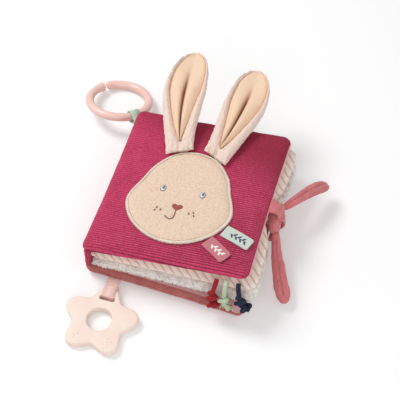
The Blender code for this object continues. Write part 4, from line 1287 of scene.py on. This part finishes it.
def lining_section(along):
    depth = ear_depth(along)
    edge = lining_half(along)
    top = np.linspace(-1, 1, 41)
    upper = [(u * edge * 0.98, lining_top(along, u) * depth) for u in top]
    lower = [(u * edge * 0.98, fleece_front(along, u * edge * 0.98) * depth + GAP) for u in top[::-1]]
    upper = [(x, max(z, low[1] + 0.0002)) for (x, z), low in zip(upper, lower[::-1])]
    # Crease mark: painted shade, dark in the middle fold low down and soft over the open dish above, and a
    # thin darker line along the lining's edges.
    dark = min(1, max(0, (0.80 - along) / 0.25)) * min(1, along / 0.25)
    soft = min(1, max(0, (0.97 - along) / 0.2))
    crease = [
        dark * math.exp(-((u / 0.13) ** 2)) + 0.35 * soft * (1 - dark) * math.exp(-(((u + 0.12) / 0.3) ** 2))
        + 0.22 * math.exp(-(((1 - abs(u)) / 0.06) ** 2))
        for u in top
    ]
    return upper + lower, crease + [0.3] * 41


def add_ears():
    for side_name, side in (("left", -1), ("right", 1)):
        seat = joint_place(f"ear_{side_name}_hinge")
        turn = Matrix.Rotation(-side * EAR_SPLAY, 4, "Z") @ Matrix.Rotation(EAR_LIFTS[side_name], 4, "X")
        place = Matrix.Translation(seat) @ turn
        rings, _ = ear_rings(side, EAR_HEM, 1.0, EAR_ROWS, fleece_section)
        rings[..., 2] += swarm(rings, 0.0022, 41) * 0.00030
        rings[..., 0] += swarm(rings, 0.0018, 42) * 0.00035
        gathers = np.exp(-np.linspace(0, 1, EAR_ROWS) / GATHER_RUN)[:, None]
        rings[..., 2] += 0.0006 * gathers * (rings[..., 2] > 0) * np.sin(rings[..., 0] / GATHER_STEP)
        rings[..., 1] += 0.0008 * gathers * swarm(rings * np.array([1, 0, 0]), 0.0016, 43)
        fleece = shell(f"ear_{side_name}_fleece_back", rings, fleece_cream, place=place)
        rings, marks = ear_rings(side, LINING_PLACES[0], LINING_PLACES[-1], LINING_ROWS, lining_section)
        marks = {"crease": marks}
        lining = shell(f"ear_{side_name}_lining_cloth", rings, lining_tan, marks=marks, place=place)
        body = f"ear_{side_name}"
        settle(fleece, body, [f"ear_{side_name}_fleece"])
        settle(lining, body, [f"ear_{side_name}_lining"])
        parts = []
        for u in (-0.72, -0.50, -0.28, -0.06) if side > 0 else (0.55, 0.30):
            start, end = (
                Vector(ear_spot(side, along, u * lean, ear_depth(along) * fleece_front(along, u) + 0.0004))
                for along, lean in ((EAR_HEM + 0.008, 1.0), (0.04, 0.9))
            )
            parts.append(stitch(start, end, GATHER_RADIUS, (0, 0, 0.0008)))
        gather = joined(f"ear_{side_name}_gathers", parts, cream_thread, place)
        settle(gather, body)


add_ears()

# Labels

LABEL_THICKNESS = 0.0015
MINT_LENGTH = 0.030
MINT_WIDTH = 0.0128
MINT_TURN = math.radians(-21.5)
PINK_LENGTH = 0.027
PINK_WIDTH = 0.0135
PINK_TURN = math.radians(-35)
SPRIG_STEM = 0.00042


def sprig_print(name, cloth, shade, ink, length, leaves):
    """A woven label with a printed sprig: a stem with a leaf to each side in turn."""
    finish = Finish(name, 0.62, sheen=0.2)
    along, across = finish.mark("along"), finish.mark("across")
    stem = 1 - (abs(across) / SPRIG_STEM).between(0.6, 1.2)
    start, end = length * 0.24, length * 0.84
    stem = stem * along.between(start, start + 0.0003) * (1 - along.between(end, end + 0.0003))
    printed = stem
    for k in range(leaves):
        sign = 1 if k % 2 else -1
        foot = start + (end - start) * (k + 0.6) / (leaves + 0.6)
        turn = math.radians(48) * sign
        u = (along - foot) * math.cos(turn) + across * math.sin(turn) - 0.0021
        v = across * math.cos(turn) - (along - foot) * math.sin(turn)
        leaf = (u / 0.0021) ** 2 + (v / 0.00088) ** 2
        printed = printed.sum("MAXIMUM", printed, 1 - leaf.between(0.7, 1.2))
    weave = (along * (math.tau / 0.0007)).wave()
    ground = finish.blend(weave * 0.6 + finish.speckle(0.0015) * 0.4, shade, cloth)
    finish.colour(finish.blend(printed, ground, ink))
    finish.relief(weave, 0.0001)
    return finish.material


def add_label(name, body, length, width, turn, material):
    """A ribbon, a little arched, with slanted corners and a thinner far end."""
    seat = joint_place(f"{name}_hinge")
    place = Matrix.Translation(seat) @ Matrix.Rotation(-COVER_TILT, 4, "Y") @ Matrix.Rotation(turn, 4, "Z")
    rows, columns = 60, 24
    rings, along_mark, across_mark = [], [], []
    for along in np.linspace(0, 1, rows):
        y = np.linspace(-1, 1, columns) * width / 2
        rounding = 1 if along < 0.9 else math.sqrt(max(0.05, 1 - ((along - 0.9) / 0.1) ** 2 * 0.35))
        arch = 0.0006 * math.sin(math.pi * along) + 0.0005 * along
        x = np.full(columns, along * length)
        top = np.column_stack([x, y * rounding, np.full(columns, arch)])
        thin = LABEL_THICKNESS * (1 if along < 0.97 else 0.7)
        bottom = top[::-1] - np.array([0, 0, thin])
        rings.append(np.vstack([top, bottom]))
        along_mark.append(rings[-1][:, 0])
        across_mark.append(rings[-1][:, 1])
    marks = {"along": along_mark, "across": across_mark}
    label = shell(f"{name}_ribbon", np.array(rings), material, marks=marks, place=place)
    settle(label, body, [name])


mint_print = sprig_print("mint_label_print", MINT, (196, 208, 196), NAVY, MINT_LENGTH, 7)
rose_print = sprig_print("rose_label_print", LABEL_ROSE, (188, 100, 110), WHITE, PINK_LENGTH, 6)
add_label("label_mint", "mint_label_flap", MINT_LENGTH, MINT_WIDTH, MINT_TURN, mint_print)
add_label("label_pink", "pink_label_flap", PINK_LENGTH, PINK_WIDTH, PINK_TURN, rose_print)

# Tie

TAIL_LENGTH = 0.074
TAIL_WIDTH = 0.0145
TAIL_DEPTH = 0.0085
TAIL_PLACES = (0.0, 0.08, 0.3, 0.55, 0.74, 0.88, 0.96, 0.985, 1.0)
TAIL_SHARES = (0.48, 0.60, 0.73, 0.92, 1.0, 0.88, 0.60, 0.40, 0.12)
TAIL_UPPER_STEPS = (
    (0, 0, 0), (0.11, 0.17, -0.02), (0.22, 0.37, -0.09), (0.33, 0.56, -0.18), (0.43, 0.69, -0.26),
)
TAIL_LOWER_STEPS = (
    (0, 0, 0), (0.07, -0.20, -0.10), (0.16, -0.41, -0.19), (0.25, -0.60, -0.27), (0.33, -0.77, -0.32),
)
STRAP_WIDTH = 0.015
STRAP_THICKNESS = 0.0034
KNOT_SHIFT = (-0.0030, 0.0006, 0.0010)
KNOT_PUFF = (-0.0004, 0.0032, 0.0004)
WRAP_WIDTH = 0.0185
WRAP_ABOVE = 0.0018
WRAP_THICKNESS = 0.0028
WRAP_TILT = math.radians(20)


def tail_section(share):
    """An oval with a sewn groove down its middle."""
    swell = float(np.interp(share, TAIL_PLACES, TAIL_SHARES))
    half, depth = TAIL_WIDTH * swell / 2, TAIL_DEPTH * swell**0.8 / 2
    pairs = []
    for turn in full_turn(36):
        groove = 1 - 0.24 * math.exp(-((math.cos(turn) / 0.2) ** 2)) * (math.sin(turn) > 0)
        pairs.append((half * math.cos(turn), depth * math.sin(turn) * groove))
    return pairs


def add_tail(name, steps, body):
    root = joint_place(f"{name}_hinge")
    path = curve_through([root + Vector(step) * TAIL_LENGTH for step in steps], 16)
    rings = np.array(tube(path, tail_section))
    depth = TAIL_DEPTH * TAIL_SHARES[0] ** 0.8 / 2
    back = np.array((path[0] - path[1]).normalized()) * depth
    middle = rings[0].mean(0)
    rounding = []
    for turn in np.linspace(0.1, math.pi / 2, 5)[:-1]:
        rounding.append(middle + back * math.cos(turn) + (rings[0] - middle) * math.sin(turn))
    rings = np.concatenate([rounding, rings])
    rings += (swarm(rings, 0.006, 51) * 0.00025)[..., None]
    tail = shell(f"tie_{name}_velour", rings, tie_velour)
    settle(tail, body, [f"tie_{name}"])
    seam = []
    for i in range(6, len(path) - 10, 2):
        share = i / (len(path) - 1)
        depth = TAIL_DEPTH * float(np.interp(share, TAIL_PLACES, TAIL_SHARES)) ** 0.8 / 2
        ahead = (path[i + 1] - path[i]).normalized()
        lift = ahead.cross(Vector((0, 0, 1))).normalized().cross(ahead)
        base = path[i] + lift * depth * 0.80
        seam.append(stitch(base, base + ahead * 0.0016, SEAM_THREAD, lift * 0.0003))
    row = joined(f"tie_{name}_seam", seam, seam_thread)
    settle(row, body)


def knot_rings(centre, size, seed):
    """A tight lump of folded velour with creases that run round it."""
    half_x, half_y, half_z = size
    rings = []
    for t in np.linspace(0.06, math.pi - 0.06, 48):
        along = -math.cos(t)
        ring = math.sin(t) ** 0.7
        pinch = 1 - 0.12 * math.exp(-((along * 3.2) ** 2))
        fold = []
        for turn in full_turn(44):
            crease = 1 - 0.07 * abs(math.sin(3.5 * turn + 2.2 * along)) ** 3
            reach = ring * pinch * crease
            out = (half_x * reach * math.cos(turn), half_y * along, half_z * reach * math.sin(turn))
            fold.append(centre + Vector(out))
        rings.append(fold)
    rings = np.array(rings)
    return rings + (swarm(rings, 0.005, seed) * 0.0003)[..., None]


def add_tie():
    low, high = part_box("tie_knot")
    size = ((high.x - low.x) / 2, (high.y - low.y) / 2, (high.z - low.z) / 2)
    size = [half + grown for half, grown in zip(size, KNOT_PUFF)]
    centre = tie_middle + Vector(KNOT_SHIFT)
    knot = shell("tie_knot_velour", knot_rings(centre, size, 52), tie_velour)
    settle(knot, "front_cover", ["tie_knot"])
    rings = []
    tilt = Matrix.Rotation(WRAP_TILT, 3, "Z") @ Matrix.Rotation(WRAP_TILT / 2, 3, "X")
    for turn in full_turn(60):
        out = Vector((math.cos(turn), 0, math.sin(turn)))
        middle = Vector((out.x * (size[0] + 0.0002), WRAP_ABOVE, out.z * (size[2] + 0.0002)))
        ring = []
        for around in full_turn(20):
            flat = math.copysign(abs(math.cos(around)) ** 0.7, math.cos(around)) * WRAP_WIDTH / 2
            fold = 1 - 0.3 * math.exp(-(((flat - 0.003) / 0.0012) ** 2)) * (math.sin(around) > 0)
            thick = out * (math.sin(around) * fold * WRAP_THICKNESS / 2)
            ring.append(centre + tilt @ (middle + Vector((0, flat, 0)) + thick))
        rings.append(ring)
    rings = np.array(rings)
    rings += (swarm(rings, 0.005, 53) * 0.0003)[..., None]
    wrap = shell("tie_knot_wrap", rings, tie_velour, closed=True)
    settle(wrap, "front_cover")
    for name, body, sign in (("tie_front_strap", "front_cover", 1), ("tie_rear_strap", "root", -1)):
        low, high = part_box(name)
        middle_y = (low.y + high.y) / 2
        outer_z, inner_z = (high.z, low.z) if sign > 0 else (low.z, high.z)
        half = STRAP_THICKNESS / 2
        route = [
            (low.x - 0.001 * sign, middle_y, outer_z - sign * half),
            (low.x + (high.x - low.x) * 0.45, middle_y, outer_z - sign * half * 1.4),
            (tie_middle.x - half / 2, middle_y, (outer_z + inner_z) / 2),
            (tie_middle.x, middle_y, inner_z),
        ]

        def section(share):
            width = STRAP_WIDTH * (1 - 0.2 * share) / 2
            pairs = []
            for turn in full_turn(32):
                flat = np.sign(math.cos(turn)) * abs(math.cos(turn)) ** 0.6
                groove = 1 - 0.3 * math.exp(-((flat / 0.25) ** 2))
                pairs.append((width * flat, half * math.sin(turn) * groove))
            return pairs

        path = curve_through(route, 8)
        rings = np.array(tube(path, section, (0.3, 0, 1)))
        strap = shell(f"{name}_velour", rings, tie_velour)
        settle(strap, body, [name])


seam_thread = velour("tie_seam_thread", (208, 118, 120), (188, 98, 102), 0.1, 0.0006)
add_tie()
add_tail("tail_upper", TAIL_UPPER_STEPS, "tail_upper")
add_tail("tail_lower", TAIL_LOWER_STEPS, "tail_lower")

# Star

STAR_TIP_RADIUS = 0.0365
STAR_VALLEY_RADIUS = 0.0255
STAR_HOLE = 0.0235
STAR_THICKNESS = 0.0080
STAR_EDGE = 0.0022
STAR_STEPS = 200
SLOT_WIDTH = 0.0150
SLOT_LENGTH = 0.0046
SLOT_FROM_CENTRE = 0.0200
RIBBON = 0.0008
STAR_RIBBON_WIDTH = 0.0118
STUD_RADIUS = 0.0009
STUD_HEIGHT = 0.0005
STUD_REACH = 0.0275
STUD_TURN = 137.5
# Direction of a group of dots in degrees, their number and their spread
STUD_GROUPS = ((-54.5, 9, 0.0030), (-126.5, 4, 0.0026))
STAR_PLACE = joint_place("star_hinge") * Vector((1, 1, 0)) - Vector((0, STAR_TIP_RADIUS + GAP + RIBBON, 0))


def star_plane():
    """The star lies tipped a little, because one tip rests on its ribbon."""
    lift = RIBBON + 2 * GAP
    far_y = STAR_PLACE.y - STAR_TIP_RADIUS * math.cos(math.pi / 5)
    tilt = math.atan2(lift, STAR_PLACE.y + STAR_TIP_RADIUS - far_y)
    tipped = Matrix.Rotation(tilt, 4, "X") @ Matrix.Translation((0, STAR_PLACE.y - far_y, 0))
    return Matrix.Translation((STAR_PLACE.x, far_y, 0)) @ tipped


def round_star(radius, height):
    """A ring round the star's middle. The radius is one number or one for each step."""
    turns = full_turn(STAR_STEPS)
    return np.column_stack([-radius * np.sin(turns), radius * np.cos(turns), np.full(STAR_STEPS, height)])


def star_rim(inset, height):
    """The star's outline with its five tips, moved in by the inset."""
    turns = full_turn(STAR_STEPS)
    mean = (STAR_TIP_RADIUS + STAR_VALLEY_RADIUS) / 2
    swing = (STAR_TIP_RADIUS - STAR_VALLEY_RADIUS) / 2
    return round_star(mean + swing * np.cos(5 * turns) - inset, height)


def add_star():
    material = silicone()
    top, edge, hole = STAR_THICKNESS, STAR_EDGE, STAR_HOLE / 2
    soft = edge / 2
    rim, bore = (
        [(1 - math.sin(t), 1 - math.cos(t)) for t in np.linspace(0, math.pi / 2, steps)] for steps in (6, 4)
    )
    rings = [star_rim(edge * a, edge * b) for a, b in rim]
    rings += [star_rim(edge * b, top - edge * a) for a, b in rim]
    rings += [round_star(hole + soft * a, top - soft * b) for a, b in bore]
    rings += [round_star(hole + soft * b, soft * a) for a, b in bore]
    star = shell("star_silicone", np.array(rings), material, closed=True)
    near, far = SLOT_FROM_CENTRE, SLOT_FROM_CENTRE + SLOT_LENGTH
    outline = rounded_outline(SLOT_WIDTH / 2, SLOT_LENGTH / 2, SLOT_LENGTH * 0.3, 40)
    outline[:, 1] += (near + far) / 2
    rows = [np.column_stack([outline, np.full(len(outline), z)]) for z in (-top, 2 * top)]
    cutter = shell("slot_cutter", rows, material)
    cut = star.modifiers.new("slot", "BOOLEAN")
    cut.object, cut.operation, cut.solver = cutter, "DIFFERENCE", "EXACT"
    star.data = flattened(star)
    bpy.data.objects.remove(cutter)
    star.data.transform(star_plane())
    star.data.shade_smooth()
    star.data.set_sharp_from_angle(angle=math.radians(40))
    settle(star, "star", ["star_teether"])
    parts = []
    for tip, count, spread in STUD_GROUPS:
        middle = Vector((math.cos(math.radians(tip)), math.sin(math.radians(tip)), 0)) * STUD_REACH
        for k in range(count):
            turn = math.radians(STUD_TURN * k)
            place = middle + Vector((math.cos(turn), math.sin(turn), 0)) * spread * math.sqrt(k / 2)
            parts.append(stud(place, top))
    studs = joined("star_studs", parts, material, star_plane())
    settle(studs, "star")


def stud(place, level):
    """A small raised dot."""
    points, faces = [], []
    for reach, rise in ((1.0, -0.3), (0.92, 0.35), (0.6, 0.85)):
        for k in range(12):
            turn = math.tau * k / 12
            out = Vector((math.cos(turn), math.sin(turn), 0)) * STUD_RADIUS * reach
            points.append(Vector(place) + out + Vector((0, 0, level + STUD_HEIGHT * rise)))
    for row in range(2):
        for k in range(12):
            j = (k + 1) % 12
            faces.append((12 * row + k, 12 * row + j, 12 * row + 12 + j, 12 * row + 12 + k))
    faces += [tuple(range(24, 36)), tuple(range(11, -1, -1))]
    return points, faces


def ribbon_rings(path, widths, thickness, across):
    """A flat ribbon along a path: rings of four sides, with soft edges."""
    rings = []
    count = len(path)
    side = Vector(across).normalized()
    for i, point in enumerate(path):
        ahead = (Vector(path[min(i + 1, count - 1)]) - Vector(path[max(i - 1, 0)])).normalized()
        lift = side.cross(ahead)
        half, thin = widths[i] / 2, thickness / 2
        line = np.linspace(-1, 1, 12)
        upper = [Vector(point) + side * half * a + lift * thin for a in line]
        rings.append(upper + [Vector(point) + side * half * a - lift * thin for a in line[::-1]])
    return rings


def add_star_ribbon():
    material = satin("rose_satin", SATIN_ROSE, (238, 190, 184), (0.75, 0.66, 0))
    plane = star_plane()
    start = joint_place("star_ribbon_hinge")
    hold = joint_place("star_hinge")
    end = Vector((hold.x, hold.y + GAP, hold.z + RIBBON))
    middle = start.lerp(end, 0.5) + Vector((0, 0, 0.0003))
    path = curve_through([start, middle, end, end + Vector((0, -0.0016, 0.0004))], 8)
    strap = shell(
        "star_ribbon_strap",
        ribbon_rings(path, [STAR_RIBBON_WIDTH] * len(path), 2 * RIBBON, (1, 0, 0)), material,
    )
    settle(strap, "star_strap", ["star_ribbon"])
    near, far = SLOT_FROM_CENTRE + SLOT_LENGTH, STAR_TIP_RADIUS
    over = STAR_THICKNESS
    rings = []
    turns = full_turn(72)
    half_y, half_z = (far - near) / 2 + GAP, over / 2 + GAP
    for grown in (0, RIBBON):
        loop = []
        for t in turns:
            y = np.sign(math.cos(t)) * abs(math.cos(t)) ** 0.35 * (half_y + grown)
            z = np.sign(math.sin(t)) * abs(math.sin(t)) ** 0.35 * (half_z + grown)
            loop.append(((near + far) / 2 + y, over / 2 + z))
        rings.append(loop)
    half = STAR_RIBBON_WIDTH / 2
    outer = [[(side * half, *pair) for pair in rings[1]] for side in (-1, 1)]
    inner = [[(side * half, *pair) for pair in rings[0]] for side in (1, -1)]
    loop = shell("star_ribbon_turn", np.array(outer + inner), material, closed=True, place=plane)
    settle(loop, "star", ["star_ribbon_loop"])


add_star()
add_star_ribbon()

# Ring

RING_PLACE = Vector((-0.113, 0.118, 0))
RING_RADIUS = 0.031
RING_TUBE = 0.0088
RING_TILT = math.radians(16.5)
RING_SLIT_ANGLE = math.radians(137)
RING_SLIT = 0.0020
RING_RIBBON_ANGLE = math.radians(-42)
RING_RIBBON_WIDTH = 0.0100
RING_RIBBON_PLAY = 0.0009
RING_BALL = 0.12
RING_WAIST = 0.07
RING_SIDES = 28
RING_MOUTH = math.radians(52)


def ring_plane():
    level = RING_TUBE / 2 + RING_RADIUS * math.sin(RING_TILT)
    place = Matrix.Translation((RING_PLACE.x, RING_PLACE.y, level))
    return place @ Matrix.Rotation(-RING_TILT, 4, "X")


def add_ring():
    radius = RING_TUBE / 2
    gap_turn = RING_SLIT / RING_RADIUS
    start = RING_SLIT_ANGLE + gap_turn / 2
    span = math.tau - gap_turn
    cap = radius * 0.62 / RING_RADIUS
    turns = list(cap * (1 - np.cos(np.linspace(0.05, math.pi / 2, 10))))
    turns += list(np.linspace(cap, span - cap, 170)[1:-1])
    turns += [span - t for t in turns[:10][::-1]]
    rings = []
    for turn in turns:
        rest = min(turn, span - turn)
        size = math.sqrt(max(0.0, 1 - (1 - min(1, rest / cap)) ** 2))
        ball = 1 + RING_BALL * math.exp(-((turn / (3 * cap)) ** 2)) - RING_WAIST * math.exp(
            -(((turn - 4.6 * cap) / (1.4 * cap)) ** 2)
        )
        out = Vector((math.cos(start + turn), math.sin(start + turn), 0))
        reach = radius * max(size, 0.12) * ball
        section = round_section(reach, RING_SIDES)
        rings.append([out * (RING_RADIUS + a) + Vector((0, 0, b)) for a, b in section])
    ring = shell("ring_plastic", rings, ring_plastic(), place=ring_plane())
    settle(ring, "ring", ["ring_link"])


def add_ring_ribbon():
    material = satin("mint_satin", SATIN_MINT, (164, 200, 174), (0.7, -0.7, 0.1))
    plane = ring_plane()
    hold = joint_place("ring_hinge")
    root = joint_place("ring_ribbon_hinge")
    round_ring = Vector((-math.sin(RING_RIBBON_ANGLE), math.cos(RING_RIBBON_ANGLE), 0))
    across = (plane.to_3x3() @ round_ring).normalized()
    toward = root - hold
    toward = (toward - across * toward.dot(across)).normalized()
    lift = across.cross(toward)
    reach = (root - hold).length
    inner = RING_TUBE / 2 + RING_RIBBON_PLAY
    mouth = RING_MOUTH
    arc = [mouth + (math.tau - 2 * mouth) * k / 40 for k in range(41)]
    loops = []
    for radius, end in ((inner + RIBBON, RIBBON), (inner, GAP)):
        profile = [(radius * math.cos(t), radius * math.sin(t)) for t in arc]
        tip = reach - (0 if radius > inner else inner / 2)
        foot = math.cos(mouth) * radius
        for k in range(1, 9):
            share = k / 8
            bend = math.sin(mouth) * radius * (1 - share) ** 1.5
            profile.append((profile[40][0] + (tip - profile[40][0]) * share, -max(bend, end)))
        for k in range(8, 0, -1):
            share = k / 8
            bend = math.sin(mouth) * radius * (1 - share) ** 1.5
            profile.append((foot + (tip - foot) * share, max(bend, end)))
        loops.append(profile)
    half = RING_RIBBON_WIDTH / 2
    rows = []
    for profile, side in ((loops[0], -1), (loops[0], 1), (loops[1], 1), (loops[1], -1)):
        rows.append([hold + toward * a + lift * b + across * side * half for a, b in profile])
    ribbon = shell("ring_ribbon_loop", rows, material, closed=True)
    settle(ribbon, "ring_strap", ["ring_ribbon"])


add_ring()
add_ring_ribbon()

# Floor and light

FLOOR_LEVEL = -0.0002
FLOOR_HALF = 3.0
FLOOR_SHADE = 0.86
FLOOR_GLOW = 0.205
ROOM_LIGHT = 0.45
ROOM_LIGHT_WHERE_SEEN = 0.55
# Name, place, aim, disk size and power
LAMPS = (
    ("key_from_left", (-0.95, 0.30, 1.35), (0, 0.02, 0.02), 0.75, 13.5),
    ("fill_from_front", (0.30, -1.3, 0.9), (0, 0, 0.03), 1.2, 5.5),
    ("fill_from_right", (1.2, -0.35, 0.30), (0, 0, 0.04), 0.6, 2.4),
)


def add_floor():
    data = bpy.data.meshes.new("floor")
    signs = ((-1, -1), (1, -1), (1, 1), (-1, 1))
    corners = [(x * FLOOR_HALF, y * FLOOR_HALF, FLOOR_LEVEL) for x, y in signs]
    data.from_pydata(corners, [], [(0, 1, 2, 3)])
    material = bpy.data.materials.new("white_table")
    material.use_nodes = True
    tree = material.node_tree
    shader = tree.nodes["Principled BSDF"]
    shader.inputs["Base Color"].default_value = (FLOOR_SHADE, FLOOR_SHADE, FLOOR_SHADE, 1)
    shader.inputs["Roughness"].default_value = 0.9
    shader.inputs["Specular IOR Level"].default_value = 0
    glow = tree.nodes.new("ShaderNodeEmission")
    glow.inputs["Color"].default_value = (1, 1, 1, 1)
    rays = tree.nodes.new("ShaderNodeLightPath")
    lift = tree.nodes.new("ShaderNodeMath")
    lift.operation = "MULTIPLY"
    lift.inputs[1].default_value = FLOOR_GLOW
    both = tree.nodes.new("ShaderNodeAddShader")
    tree.links.new(rays.outputs["Is Camera Ray"], lift.inputs[0])
    tree.links.new(lift.outputs[0], glow.inputs["Strength"])
    tree.links.new(shader.outputs[0], both.inputs[0])
    tree.links.new(glow.outputs[0], both.inputs[1])
    tree.links.new(both.outputs[0], tree.nodes["Material Output"].inputs["Surface"])
    data.materials.append(material)
    floor = in_scene("floor", data)


def add_lamp(name, place, aim, size, power):
    data = bpy.data.lights.new(name, "AREA")
    data.shape, data.size, data.energy = "DISK", size, power
    lamp = in_scene(name, data)
    lamp.location = place
    lamp.rotation_mode = "QUATERNION"
    lamp.rotation_quaternion = (Vector(aim) - Vector(place)).to_track_quat("-Z", "Y")


def add_world():
    world = bpy.data.worlds.new("studio")
    bpy.context.scene.world = world
    world.use_nodes = True
    tree = world.node_tree
    ground = tree.nodes["Background"]
    ground.inputs["Color"].default_value = (1, 1, 1, 1)
    rays = tree.nodes.new("ShaderNodeLightPath")
    share = tree.nodes.new("ShaderNodeMath")
    share.operation = "MULTIPLY_ADD"
    seen = tree.nodes.new("ShaderNodeMath")
    seen.operation = "MAXIMUM"
    tree.links.new(rays.outputs["Is Camera Ray"], seen.inputs[0])
    tree.links.new(rays.outputs["Is Glossy Ray"], seen.inputs[1])
    tree.links.new(seen.outputs[0], share.inputs[0])
    share.inputs[1].default_value = ROOM_LIGHT_WHERE_SEEN
    share.inputs[2].default_value = ROOM_LIGHT
    tree.links.new(share.outputs[0], ground.inputs["Strength"])


add_floor()
for lamp_settings in LAMPS:
    add_lamp(*lamp_settings)
add_world()
bpy.context.scene.view_settings.view_transform = "Standard"
